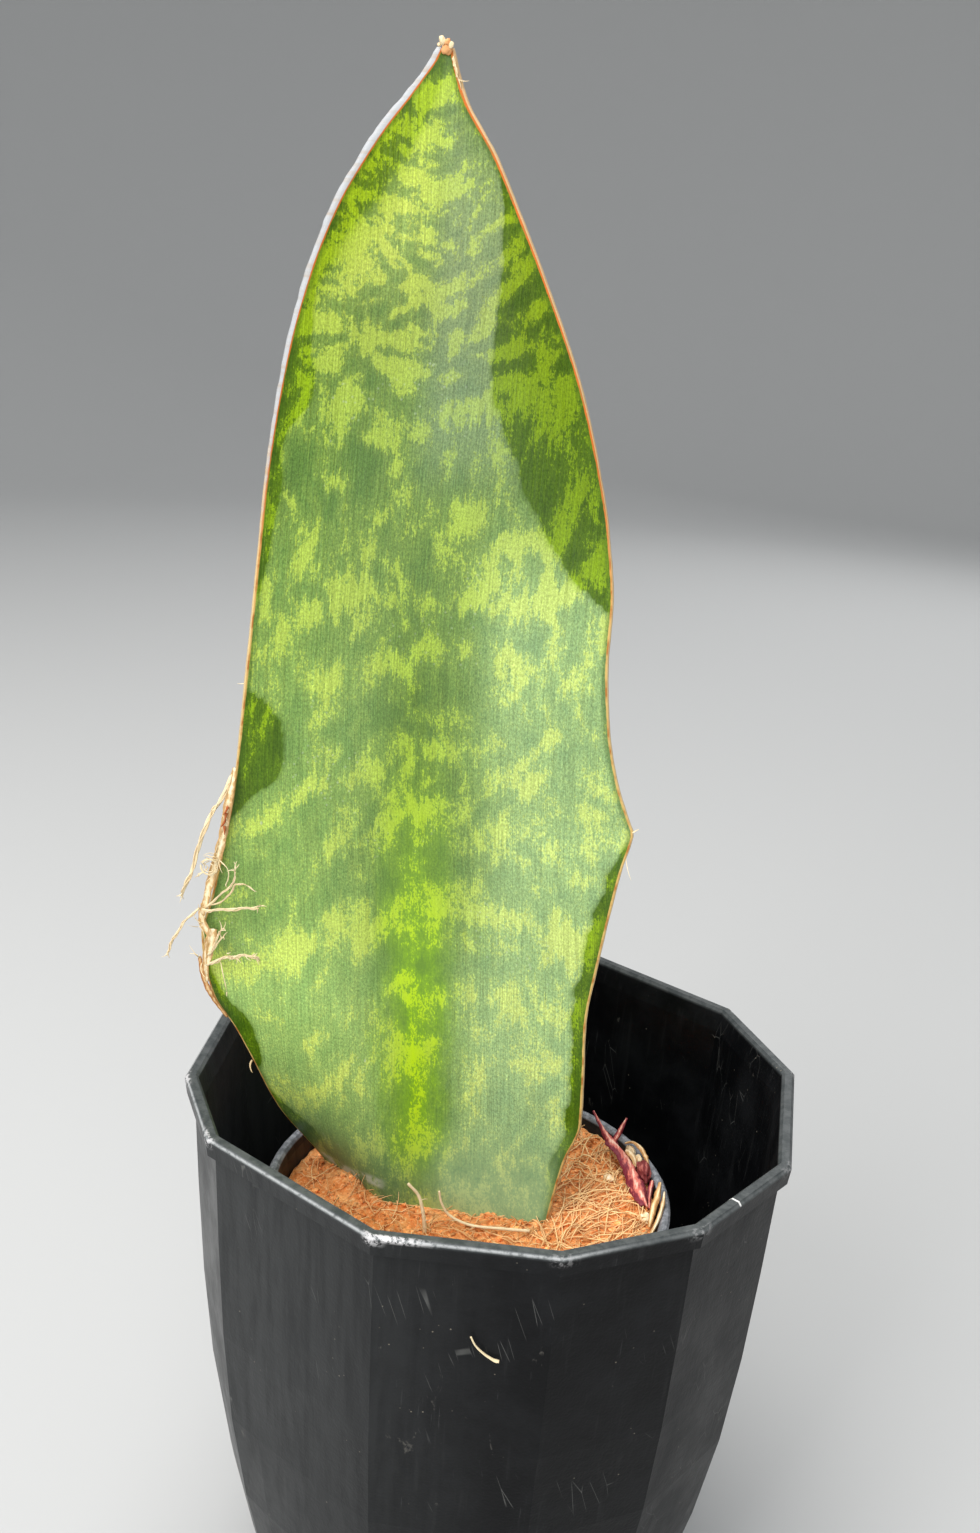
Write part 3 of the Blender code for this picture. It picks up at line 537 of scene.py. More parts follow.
def cup_stuff():
    s = Stuff("cup_plastic_rim_wear_and_highlight", specular_ior_level=0.18)
    place = s.position()
    z = s.split(place)[2]
    dust = s.noise(place, 0.12, 4, 0.6)
    base = s.mix(s.ramp(dust, 0.4, 0.7), (0.008, 0.008, 0.009), (0.024, 0.024, 0.025))
    # The rim top is painted pale grey, wear together with a painted highlight.
    rim = s.ramp(z, 122.7, 123.3)
    grey = s.mix(s.ramp(s.noise(place, 0.5, 4, 0.7), 0.4, 0.65), (0.145, 0.152, 0.166), (0.3, 0.31, 0.33))
    base = s.mix(rim, base, grey)
    s.put("base color", base)
    s.put("roughness", s.ramp(dust, 0.3, 0.7, 0.34, 0.5))
    s.put("normal", s.bump(s.noise(place, 0.8, 3), 0.00006))
    return s.material


def sheath_stuff(name, dark, light, pale):
    s = Stuff(name, roughness=0.55, specular_ior_level=0.4)
    place = s.position()
    x, y, z = s.split(place)
    runs = s.noise(s.join(x * 1.1, y * 0.22, z * 0.7), 1, 3, 0.6)
    # Painted shade across each strip: the per-point value is high along the middle and low at the edges, so
    # the edges are painted darker; lengthwise runs are mixed in.
    painted_crest_shade = s.attribute("tint") * 0.46 + (runs - 0.3)
    base = s.mix(s.ramp(painted_crest_shade, 0.34, 0.52), dark, light)
    base = s.mix(s.ramp(painted_crest_shade, 0.54, 0.72), base, pale)
    s.put("base color", base)
    s.put("normal", s.bump(runs, 0.0003))
    return s.material


def plain_stuff(name, colour, rough):
    s = Stuff(name, roughness=rough, specular_ior_level=0.2)
    s.put("base color", colour)
    return s.material


LEAF = leaf_stuff()
COIR = coir_stuff()
POT = pot_stuff()
CUP = cup_stuff()
COIR_FIBRE = fibre_stuff("coir_fibre", (0.62, 0.24, 0.065), (0.95, 0.66, 0.32))
DRY_FIBRE = fibre_stuff("dry_fibre", (0.54, 0.32, 0.13), (0.86, 0.73, 0.47), 0.6)
SHEATH = sheath_stuff("dry_sheath_skin", (0.19, 0.016, 0.03), (0.66, 0.165, 0.12), (0.93, 0.56, 0.42))
HUSK_DARK = sheath_stuff("husk_dark", (0.03, 0.005, 0.006), (0.19, 0.026, 0.026), (0.46, 0.13, 0.1))
HUSK_PALE = sheath_stuff("husk_pale", (0.55, 0.32, 0.13), (0.84, 0.64, 0.38), (0.92, 0.8, 0.58))
STRAW = sheath_stuff("straw_strip", (0.52, 0.31, 0.12), (0.8, 0.63, 0.37), (0.9, 0.79, 0.56))
STRAW_LIGHT = sheath_stuff("straw_light", (0.48, 0.24, 0.08), (0.76, 0.48, 0.22), (0.9, 0.72, 0.44))
STRAW_BROWN = sheath_stuff("straw_brown", (0.4, 0.17, 0.05), (0.64, 0.36, 0.14), (0.78, 0.58, 0.31))
RUST_PALE = fibre_stuff("rust_pale", (0.5, 0.16, 0.045), (0.8, 0.42, 0.18))
RUST = fibre_stuff("rust_spot", (0.34, 0.075, 0.02), (0.66, 0.21, 0.065))


# ---------------------------------------------------------------- the leaf


def blade_grid(heights, shares):
    """Front-face points: rows by height, columns from the left margin to the right one."""
    grid = np.zeros((len(heights), len(shares), 3))
    for i, z in enumerate(heights):
        middle = np.array((along(CHANNEL, z, 1), along(CHANNEL, z, 2)))
        sides = {
            -1: np.array((along(LEFT_MARGIN, z, 1), along(LEFT_MARGIN, z, 2))),
            1: np.array((along(RIGHT_MARGIN, z, 1), along(RIGHT_MARGIN, z, 2))),
        }
        fold = FOLD_SHARE * (1 - smooth_step((z - FOLD_LOW) / (FOLD_HIGH - FOLD_LOW)))
        calm = smooth_step((z - 118) / 30) * smooth_step((LEAF_TIP - z) / 25)
        reach = {}
        for edge_side, rim, inset in ((-1, LEFT_RIM, LEFT_INSET), (1, RIGHT_RIM, RIGHT_INSET)):
            width = math.dist(sides[edge_side], middle)
            reach[edge_side] = 1 - (along(rim, z) + inset) / max(width, 4)
        for j, u in enumerate(shares):
            spread = abs(u) * reach[-1 if u < 0 else 1]
            bow = spread * spread
            if u < 0:
                bow += (smooth_step(spread) - bow) * fold
            edge = sides[-1 if u < 0 else 1]
            x = middle[0] + (edge[0] - middle[0]) * spread
            y = middle[1] + (edge[1] - middle[1]) * bow
            wave = (
                math.sin(z * 0.115 + (1.3 if u < 0 else 0.2))
                + 0.6 * math.sin(z * 0.067 + (0.4 if u < 0 else 2.1))
            )
            y += 0.55 * wave * spread**4 * calm
            y += 0.35 * noise.noise(Vector((x * 0.05, z * 0.03, 7))) * calm
            grid[i, j] = (x, y, z)
    return grid


def bloom_and_sheen_at(z, u):
    """How strong the waxy bloom and its painted sheen are on the front face."""
    u = (
        u + 0.03 * noise.noise(Vector((z * 0.16, u * 2, 3)))
        + 0.015 * noise.noise(Vector((z * 0.6, u * 4, 8)))
    )
    right = smooth_step((along(BLOOM_SHEEN_RIGHT, z) - u) / 0.05 + 0.5)
    left = smooth_step((u - along(BLOOM_SHEEN_LEFT, z)) / (0.05 + 0.75 * smooth_step((z - 322) / 22)) + 0.5)
    low = smooth_step((300 - z) / 60)
    low *= 0.35 + 0.65 * smooth_step((z - 117) / 17)
    channel = 1 - 0.58 * low * smooth_step((0.42 - abs(u - 0.085)) / 0.4)
    return right * left * channel * along(BLOOM_SHEEN_STRENGTH, z)


def painted_sheen_brightness_at(z, u):
    """How bright the painted sheen over the bloom is: strongest low down and on the right."""
    low = smooth_step((225 - z) / 70)
    right = smooth_step((300 - z) / 45) * smooth_step((u - 0.1) / 0.5)
    high_left = 0.45 * smooth_step((z - 320) / 25) * smooth_step((0.1 - u) / 0.5)
    left = 0.35 * smooth_step((300 - z) / 60)
    return min(1, max(low * (1 - 0.22 * smooth_step(-u / 0.6)), 0.85 * right, left) + high_left)


def build_leaf():
    span = np.linspace(0, 1, LEAF_ROWS)
    heights = LEAF_LOW + (LEAF_TIP - LEAF_LOW) * (span + 0.1 * np.sin(math.pi * span) * span * 0.8)
    heights = np.minimum(heights, LEAF_TIP)
    heights = np.unique(np.round(np.sort(heights), 4))
    rows, columns = len(heights), 2 * LEAF_HALF + 1
    steps = np.arange(-LEAF_HALF, LEAF_HALF + 1) / LEAF_HALF
    shares = np.sin(steps * math.pi / 2)
    front = blade_grid(heights, shares)
    down = np.gradient(front, axis=0)
    across = np.gradient(front, axis=1)
    normal = np.cross(down, across)
    normal[:, :, 2] = 0
    normal /= np.linalg.norm(normal, axis=2, keepdims=True)
    middle = np.array([along(LEAF_THICKNESS, z) for z in heights])[:, None]
    left = np.array([along(LEFT_EDGE, z) for z in heights])[:, None]
    right = np.array([along(RIGHT_EDGE, z) for z in heights])[:, None]
    edge = np.where(shares[None, :] < 0, left, right)
    thick = edge + (middle - edge) * (1 - np.abs(shares)[None, :] ** THICKNESS_FALL)
    rear = front + normal * thick[:, :, None]
    arc = np.linalg.norm(np.diff(front, axis=1), axis=2)
    run = np.concatenate([np.zeros((rows, 1)), np.cumsum(arc, axis=1)], axis=1)
    centre = columns // 2
    u_mm = run - run[:, centre : centre + 1]
    to_edge = np.minimum(run, run[:, -1:] - run)
    rise = (
        np.concatenate([[0], np.cumsum(np.linalg.norm(np.diff(front[:, centre], axis=0), axis=1))])
        + heights[0]
    )

    loops = []
    for i, z in enumerate(heights):
        loops += [
            (
                front[i, j],
                (u_mm[i, j], rise[i], 0),
                to_edge[i, j],
                0,
                bloom_and_sheen_at(z, shares[j]),
                painted_sheen_brightness_at(z, shares[j]),
            )
            for j in range(columns)
        ]
        for first, second, bulge, flip, j in (
            (front[i, -1], rear[i, -1], along(RIGHT_RIM, z), 1, -1),
            (rear[i, 0], front[i, 0], along(LEFT_RIM, z), -1, 0),
        ):
            out = np.array((normal[i, j, 1], -normal[i, j, 0], 0)) * flip
            for k in range(1, RIM_STEPS + 1):
                turn = math.pi * k / (RIM_STEPS + 1)
                share = (1 - math.cos(turn)) / 2
                uneven = 1 + 0.22 * noise.noise(Vector((z * 0.35, flip * 5, share)))
                uneven += 0.12 * noise.noise(Vector((z * 1.1, 2, flip)))
                point = first + (second - first) * share + out * math.sin(turn) * bulge * uneven
                loops.append((point, (u_mm[i, j], rise[i], 0), 0, math.sin(turn), 0, 0))
            # The rear face carries an even bloom with a little painted sheen.
            if flip > 0:
                loops += [
                    (rear[i, k], (u_mm[i, k] * 1.07 + 31, rise[i] + 17, 60), to_edge[i, k], 0, 0.6, 0.15)
                    for k in range(columns - 1, -1, -1)
                ]
    verts, places, edges, rims, blooms_and_sheen, painted_sky_sheens = zip(*loops)
    count = len(verts) // rows
    faces = quads(rows, count) + [tuple(range(count)), tuple(range(len(verts) - count, len(verts)))]
    fields = {"leaf_mm": places, "edge_mm": edges, "rim": rims, "bloom_and_sheen": blooms_and_sheen, "painted_sky_sheen": painted_sky_sheens}
    piece("leaf_blade", verts, faces, LEAF, "leaf", "leaf", **fields)


def build_leaf_tip():
    """The dried, crumbled point of the leaf."""
    for name, centre, half, tilt, seed, stuff in (
        ("leaf_dry_tip", (-27.3, 18.6, 381.1), (1.35, 1, 1.25), -20, 4, RUST_PALE),
        ("leaf_tip_curl", (-28.3, 18.3, 382.7), (0.75, 0.7, 1.15), -25, 9, DRY_FIBRE),
        ("leaf_tip_crumb", (-27.2, 17.9, 382.5), (0.6, 0.55, 0.8), 30, 15, RUST_PALE),
        ("leaf_tip_flake", (-26.4, 17.7, 381.9), (0.6, 0.5, 0.75), 15, 21, DRY_FIBRE),
        ("leaf_tip_bead", (-29, 18.1, 381.8), (0.45, 0.45, 0.45), 0, 27, DRY_FIBRE),
    ):
        lump(name, centre, half, 0, tilt, seed, stuff, "dry_fibre", subdivisions=3)
    curl = Strands()
    points = ((-25.9, 17.9, 379.4), (-25.2, 17.6, 377.6), (-24.9, 17.4, 376.2), (-24.4, 17.2, 375.2))
    split_strand(curl, points, 0.42, 0.7, 2)
    curl.build("right_margin_curl", DRY_FIBRE)


# ---------------------------------------------------------------- frayed margin

# Name, radius and route of the strands that have a CAD node.
MARGIN_STRANDS = (
    ("margin_strand_1", 0.62, ((-65.9, -6.2, 223.5), (-68.6, -7, 217.1), (-70.8, -7.4, 213.6),
     (-73.2, -8, 205.6), (-75, -8.6, 199), (-76.7, -9, 194.4))),
    ("margin_strand_2", 0.5, ((-72, -8.2, 190.6), (-69.4, -10.2, 191.4), (-65.2, -11.2, 192.6),
     (-61, -11.6, 193.2), (-58, -12, 194.2))),
    ("margin_strand_3", 0.42, ((-73, -7, 190.4), (-75.4, -7.8, 188.1), (-77.6, -8.4, 185),
     (-79.2, -8.8, 181.6), (-79.9, -9, 179.4))),
    ("margin_strand_4", 0.55, ((-70.8, -8.2, 176.4), (-67.2, -9.6, 178.9), (-64.5, -10.2, 179.9),
     (-61.3, -10.4, 180.6), (-58.6, -10.4, 180.5))),
)
# The dried hem that has come away as flat straw-coloured strips: name, material, seed, route and widths.
DRY_HEMS = (
    ("dry_hem_upper", STRAW, 3, ((-65.4, -6.2, 225.5), (-66, -7, 220.6), (-66.6, -7.3, 216.7),
     (-67.6, -7.6, 209.4), (-68.8, -7.9, 203.7), (-70.4, -8.2, 197.2), (-71.6, -8.2, 191)),
     (0.9, 1.7, 1.9, 2, 1.9, 1.9, 1.5)),
    ("dry_hem_lower", STRAW, 5, ((-71.8, -8, 192), (-72.2, -8, 187.9), (-70.4, -8.6, 184.6),
     (-70.6, -8.6, 182.1), (-71.2, -8, 177.9), (-71, -7.2, 171.5)), (1.4, 1.7, 1.3, 1.8, 1.7, 0.8)),
    ("dry_hem_flap", STRAW, 7, ((-69.4, -9.2, 186.2), (-69.6, -9.4, 183.4), (-70, -9.2, 180.2),
     (-70.6, -8.6, 176.6)), (2.3, 2.2, 1.8, 1)),
    ("dry_hem_foot", STRAW_BROWN, 9, ((-72.9, -6.6, 177.6), (-72.3, -6.4, 173.4), (-70.9, -5.9, 168.9),
     (-69.2, -4.9, 165), (-66.6, -3.9, 160.6)), (0.8, 1.2, 1.3, 1, 0.6)),
)
# The finer strands: radius, tint, hairs at the end and route.
FINE_STRANDS = (
    (0.32, 0.85, 5, ((-71, -9, 191.6), (-68, -10.2, 195), (-65.7, -10.6, 197.5), (-64.3, -10.8, 199.3),
     (-64, -11.2, 202.7))),
    (0.28, 0.7, 2, ((-70.4, -9.2, 192.2), (-67, -10.2, 194), (-64.9, -10.6, 196.7), (-63.9, -10.8, 198.6),
     (-62.4, -11, 199), (-60.7, -11.2, 198.6))),
    (0.16, 0.95, 1, ((-67.4, -9.4, 178), (-66.4, -10.2, 174.4), (-65.6, -10.2, 170.6))),
    (0.34, 0.8, 4, ((-70.3, -9.2, 179.4), (-68.6, -9.8, 182.9), (-67.9, -10, 185.3),
     (-67.1, -10.2, 186.7))),
    (0.28, 0.9, 3, ((-69.9, -9.4, 179.8), (-68, -9.8, 183), (-66.8, -10, 184.7))),
    (0.2, 0.85, 4, ((-68.6, -8.6, 203), (-70.5, -9, 203.9), (-71.9, -9, 202.8), (-70.6, -9.2, 201.7),
     (-72.6, -9, 199.9))),
    (0.17, 0.95, 1, ((-68, -8.6, 203.4), (-66.7, -9.8, 202.9), (-65.8, -10, 201.6), (-65.7, -10, 200),
     (-66.3, -9.8, 198.2))),
)


def left_margin(z, out=0, ahead=0):
    return Vector((along(LEFT_MARGIN, z, 1) - out, along(LEFT_MARGIN, z, 2) - ahead, z))


def hair(strands, start, way, length, radius, tint, curl=0.5, points=9, sides=5):
    """One loose fibre that leaves `start` along `way` and bends as it goes."""
    ahead = Vector(way).normalized()
    bend = Vector((dice.uniform(-1, 1), dice.uniform(-1, 1), dice.uniform(-1, 1))) * curl
    path, point = [], Vector(start)
    for _ in range(points):
        path.append(point.copy())
        point = point + ahead * length / (points - 1)
        ahead = (ahead + bend / points).normalized()
    radii = [radius * (1 - 0.75 * (i / (points - 1)) ** 1.5) for i in range(points)]
    strands.add(path, radii, tint, sides)


def split_strand(strands, points, radius, tint, ends=5):
    """A dry strand with a few fibrils along it and a burst of fine hairs at its end."""
    main = spline(points, 7)
    count = len(main) - 1
    radii = [radius * (1 - 0.55 * i / count) * (1 + 0.14 * math.sin(i * 1.3)) for i in range(count + 1)]
    strands.add(main, radii, tint, 7, 0.6)
    for k in range(2):
        twin = []
        for i in range(2 * k, count - 2 * k):
            offset = (0.6 * math.sin(i * 0.5 + k * 2.1), -0.5, 0.8 * math.cos(i * 0.6 + k))
            twin.append(main[i] + Vector(offset) * radius)
        strands.add(twin, [radius * 0.3] * len(twin), tint - 0.25 + 0.2 * k)
    ahead = (main[-1] - main[-3]).normalized()
    for k in range(ends):
        way = ahead + Vector((dice.uniform(-0.8, 0.8), dice.uniform(-0.5, 0.3), dice.uniform(-0.8, 0.8)))
        hair(strands, main[-1 - k % 3], way, dice.uniform(1, 2.6), 0.16, dice.uniform(0.6, 1), 1.4)


def build_frays():
    for name, radius, points in MARGIN_STRANDS:
        strands = Strands()
        split_strand(strands, points, radius, 0.8)
        if name == "margin_strand_4":
            for _ in range(14):
                start = Vector((dice.uniform(-66, -59), -10.4, dice.uniform(179.6, 181)))
                way = (dice.uniform(-0.6, 1), -0.4, dice.uniform(-0.9, 0.9))
                hair(strands, start, way, dice.uniform(1, 2.4), 0.12, 0.9, 1.6, 7)
        strands.build(name + "_fray", DRY_FIBRE, node=name)
    for name, stuff, seed, points, widths in DRY_HEMS:
        ribbon(name, points, widths, stuff, "dry_fibre", None, 0.35, 0.25, 0.3, seed, (0, 1, 0), 0.18)

    strands = Strands()
    for radius, tint, ends, points in FINE_STRANDS:
        split_strand(strands, points, radius, tint, ends)
    for _ in range(26):
        z = dice.choice((203, 202, 191, 186, 188, 177)) + dice.uniform(-1.6, 1.6)
        start = left_margin(z, dice.uniform(-0.8, 0.8), dice.uniform(1.4, 2.2))
        way = (dice.uniform(-1.1, 0.9), dice.uniform(-0.7, 0), dice.uniform(-0.8, 0.9))
        length, radius, tint = dice.uniform(1.5, 5), dice.uniform(0.08, 0.15), dice.uniform(0.6, 1)
        hair(strands, start, way, length, radius, tint, 2.2, 11)
    for turn, reach in ((0.4, 1.7), (1.6, 1.2), (3, 2.1)):
        loop = []
        for i in range(14):
            a = turn + i * 0.45
            loop.append(Vector((-70.4 + math.cos(a) * reach, -9 - 0.08 * i, 202 + math.sin(a) * reach)))
        strands.add(loop, [0.12] * 14, 0.9)
    strands.build("margin_frays", DRY_FIBRE)

    strands = Strands()
    for z in (216.6, 215, 213.4, 211.8):
        start = left_margin(z, -0.2, 2)
        hair(strands, start, (dice.uniform(-0.4, 0.4), -0.3, -1), 2.2, 0.34, 0.2, 1.2, 6)
    strands.build("margin_rust_spot", RUST, "dark_husk")

    # Small flaws elsewhere on the margins: a spur and a hair at the right, a curl and a hair at the left.
    strands = Strands()
    hair(strands, (26.4, -8.6, 217.6), (0.8, -0.2, 0.65), 1.8, 0.2, 0.9, 0.2, 5)
    hair(strands, (25.4, -8.6, 212), (0.15, -0.3, -1), 6, 0.12, 0.95, 0.6, 8)
    hair(strands, (-60.6, -1.6, 148), (-0.4, -0.4, -0.5), 3.4, 0.3, 0.4, 2.2, 8)
    hair(strands, (-63.8, -3.6, 245), (-1, -0.1, -0.3), 1.8, 0.12, 0.9, 0.8, 6)
    strands.build("margin_flaws", DRY_FIBRE)


# ---------------------------------------------------------------- the coir fill


def coir_level(x, y):
    rise = COIR_RISE * smooth_step((x - COIR_RISE_FROM) / COIR_RISE_OVER)
    calm = smooth_step((x - 22) / 8) * smooth_step((y + 28) / 8)
    bump = noise.noise(Vector((x * 0.16, y * 0.16, 1.7)))
    bump += 0.5 * noise.noise(Vector((x * 0.42, y * 0.42, 4.1)))
    mound = 2.2 * math.exp(-(((x + 36) / 5.5) ** 2) - ((y + 5) / 5) ** 2)
    return COIR_TOP + rise + mound + bump * (1 - 0.8 * calm)


def coir_relief(x, y):
    rough = 0.85 * noise.noise(Vector((x * 0.55, y * 0.55, 9.3)))
    rough += 0.45 * abs(noise.noise(Vector((x * 1.2, y * 1.2, 2.2))))
    rough += 0.25 * noise.noise(Vector((x * 2.7, y * 2.7, 5)))
    return coir_level(x, y) + rough


def build_coir():
    rings = COIR_BODY + tuple((None, COIR_RADIUS * ring / COIR_RINGS) for ring in range(COIR_RINGS, 0, -1))
    verts, tints = [], []
    for z, radius in rings:
        for k in range(COIR_SECTORS):
            a = math.tau * k / COIR_SECTORS
            x, y = CUP_X + radius * math.cos(a), CUP_Y + radius * math.sin(a)
            verts.append((x, y, z or coir_relief(x, y)))
            tints.append(0.4 if z else 0.55 + 0.2 * noise.noise(Vector((x * 0.8, y * 0.8, 3))))
    faces = quads(len(rings), COIR_SECTORS) + [tuple(range(COIR_SECTORS))]
    # A fan of triangles closes the top in the middle.
    top = len(verts)
    last = top - COIR_SECTORS
    faces += [(last + k, last + (k + 1) % COIR_SECTORS, top) for k in range(COIR_SECTORS)]
    verts.append((CUP_X, CUP_Y, coir_relief(CUP_X, CUP_Y)))
    tints.append(0.5)
    piece("coir_fill", verts, faces, COIR, "coir", "coir_medium", tint=tints)


def disc_place():
    radius, turn = (COIR_RADIUS - 0.6) * math.sqrt(dice.random()), dice.uniform(0, math.tau)
    return CUP_X + radius * math.cos(turn), CUP_Y + radius * math.sin(turn)


def build_crumbs():
    shape = bmesh.new()
    bmesh.ops.create_icosphere(shape, subdivisions=1, radius=1)
    ball = [v.co.copy() for v in shape.verts]
    ball_faces = [[v.index for v in f.verts] for f in shape.faces]
    shape.free()
    verts, faces, tints = [], [], []
    for _ in range(CRUMBS):
        x, y = disc_place()
        size = 0.28 + 0.75 * dice.random() ** 2.2
        stretch = Vector((dice.uniform(0.7, 1.4), dice.uniform(0.7, 1.4), dice.uniform(0.5, 0.9)))
        turn = Matrix.Rotation(dice.uniform(0, math.tau), 3, "Z")
        turn = turn @ Matrix.Rotation(dice.uniform(-0.6, 0.6), 3, "X")
        centre = Vector((x, y, coir_relief(x, y) + size * 0.25))
        tints += [dice.uniform(0.15, 1)] * len(ball)
        faces += [[len(verts) + k for k in face] for face in ball_faces]
        verts += [centre + turn @ (co * stretch * size * dice.uniform(0.72, 1.15)) for co in ball]
    piece("coir_crumbs", verts, faces, COIR, "coir", smooth=False, tint=tints)


def lying_fibre(strands, x, y, heading, length, radius, tint, lift):
    """A fibre that lies on the fill in a loose curve, humped by `lift` at its middle."""
    points = 9
    bend = dice.uniform(-1.1, 1.1) / points
    path = []
    for i in range(points):
        if math.hypot(x - CUP_X, y - CUP_Y) > COIR_RADIUS - 0.5:
            break
        hump = lift * math.sin(math.pi * i / (points - 1))
        path.append(Vector((x, y, coir_relief(x, y) + 0.25 + hump + dice.uniform(-0.1, 0.25))))
        x += math.cos(heading) * length / (points - 1)
        y += math.sin(heading) * length / (points - 1)
        heading += bend + dice.uniform(-0.12, 0.12)
    last = len(path) - 1
    if last >= 3:
        radii = [
            radius * (0.35 + 0.65 * math.sin(math.pi * (0.15 + 0.7 * i / last)))
            for i in range(last + 1)
        ]
        strands.add(path, radii, tint, 4)


# Name, which end is thick (1: the first), radius and route of the two fibres in front of the leaf.
THICK_FIBRES = (
    ("coir_fibre_1", 1, 0.55, ((-14.7, -22.8, 116.8), (-15, -22.4, 119.4), (-15.6, -21.8, 122.2),
     (-16.9, -20.6, 125.6), (-19.6, -20.2, 128.4))),
    ("coir_fibre_2", -1, 0.42, ((-12, -19.4, 126.4), (-11.2, -19.8, 123.4), (-9, -20.4, 120.4),
     (-3.8, -21.4, 118.8), (3.5, -22.3, 119.1), (10.4, -22.6, 119.2))),
)


def build_coir_fibres():
    strands = Strands()
    for _ in range(LOOSE_FIBRES):
        x, y = disc_place()
        if x < -6 and dice.random() < 0.55:
            continue
        length = 3.5 + 15 * dice.random() ** 1.8
        radius = dice.uniform(0.07, 0.17) + 0.08 * (dice.random() < 0.12)
        tint = dice.uniform(0.15, 0.75) + 0.25 * (dice.random() < 0.3)
        lift = dice.uniform(0, 0.9) + 1.6 * (dice.random() < 0.12)
        lying_fibre(strands, x, y, dice.uniform(0, math.tau), length, radius, tint, lift)
    # A mat of longer pale fibres on the high side, most of them running towards the debris.
    for _ in range(MAT_FIBRES):
        x, y = dice.uniform(14, 38), dice.uniform(-34, 20)
        heading, length = math.radians(dice.gauss(62, 38)), dice.uniform(7, 20)
        radius, tint = dice.uniform(0.11, 0.22), dice.uniform(0.6, 1)
        lying_fibre(strands, x, y, heading, length, radius, tint, dice.uniform(0.2, 1.4))
    # Fibres that stand out of the fill against the leaf.
    for _ in range(STANDING_FIBRES):
        x = dice.uniform(-34, 18)
        y = -20.5 - dice.uniform(0, 6) + max(0, -20 - x)
        start = Vector((x, y, coir_relief(x, y) - 0.3))
        way = (dice.uniform(-0.9, 0.9), dice.uniform(-0.4, 0.4), dice.uniform(0.25, 0.9))
        length, radius, tint = dice.uniform(2.5, 7.5), dice.uniform(0.09, 0.17), dice.uniform(0.5, 1)
        hair(strands, start, way, length, radius, tint, 1.4, 8, 4)
    strands.build("coir_fibres", COIR_FIBRE)

    for name, thick_end, radius, points in THICK_FIBRES:
        strands = Strands()
        path = spline(points, 8)
        count = len(path) - 1
        radii = [radius * (1 - 0.35 * i / count) * (1 + 0.06 * math.sin(i * 1.7)) for i in range(count + 1)]
        strands.add(path, radii[::thick_end], 0.8, 8)
        for k in range(3):
            way = (dice.uniform(-1, 1), dice.uniform(-0.6, 0.2), dice.uniform(0.1, 0.8))
            hair(strands, path[count * (k + 2) // 6], way, 2.5, 0.1, 0.9, 1, 6)
        strands.build(name + "_long", DRY_FIBRE, node=name)


# ---------------------------------------------------------------- debris at the cup's edge


def ribbon(
    name, points, widths, stuff, slot, node, thickness, curl, ragged, seed, facing=(0.15, 0.1, 1),
    twist=0.5
):
    """A papery strip, cupped across its width, with torn edges."""
    path = spline(points, 9)
    count = len(path) - 1
    lanes = [lane / (RIBBON_LANES - 1) * 2 - 1 for lane in range(RIBBON_LANES)]
    verts = []
    for i, point in enumerate(path):
        t = i / count * (len(widths) - 1)
        k = min(len(widths) - 2, int(t))
        width = widths[k] + (widths[k + 1] - widths[k]) * (t - k)
        ahead = (path[min(count, i + 1)] - path[max(0, i - 1)]).normalized()
        flat = ahead.cross(Vector(facing)).normalized()
        rise = flat.cross(ahead).normalized()
        turn = twist * math.sin(i * 0.16 + seed)
        across = flat * math.cos(turn) + rise * math.sin(turn)
        over = rise * math.cos(turn) - flat * math.sin(turn)
        top, bottom = [], []
        for s in lanes:
            tear = 1 + ragged * noise.noise(Vector((i * 0.45, s * 0.7, seed * 3.1)))
            crease = 0.0396 * math.sin(s * 7 + seed + i * 0.2) * width
            cup = (1 - s * s) * curl * width * 0.5
            place = point + across * s * width * 0.5 * tear + over * (cup + crease)
            depth = over * thickness * 0.5 * (1.05 - s * s * 0.7)
            top.append(place + depth)
            bottom.append(place - depth)
        verts += top + bottom[::-1]
    ring = 2 * RIBBON_LANES
    faces = quads(count + 1, ring) + [tuple(range(ring)), tuple(range(count * ring, len(verts)))]
    # Painted shade: a value high along the middle of the strip and falling to the edges, which the material
    # paints darker.
    painted_crest_shade = [1 - abs(s) for s in lanes] * (2 * count + 2)
    piece(name, verts, faces, stuff, slot, node, tint=painted_crest_shade)


def lump(name, centre, half, turn_deg, tilt_deg, seed, stuff, slot, node=None, subdivisions=4):
    shape = bmesh.new()
    bmesh.ops.create_icosphere(shape, subdivisions=subdivisions, radius=1)
    turn, tilt = math.radians(turn_deg), math.radians(tilt_deg)
    verts = []
    for vert in shape.verts:
        way = vert.co.copy()
        rough = 0.92 + 0.26 * noise.noise(way * 1.7 + Vector((seed, 0, 0)))
        rough += 0.1 * noise.noise(way * 5 + Vector((0, seed, 0)))
        x, y, z = way.x * half[0] * rough, way.y * half[1] * rough, way.z * half[2] * rough
        x, z = x * math.cos(tilt) + z * math.sin(tilt), z * math.cos(tilt) - x * math.sin(tilt)
        x, y = x * math.cos(turn) - y * math.sin(turn), x * math.sin(turn) + y * math.cos(turn)
        verts.append((centre[0] + x, centre[1] + y, centre[2] + z))
    faces = [tuple(v.index for v in face.verts) for face in shape.faces]
    shape.free()
    piece(name, verts, faces, stuff, slot, node, tint=[LUMP_TINT] * len(verts))


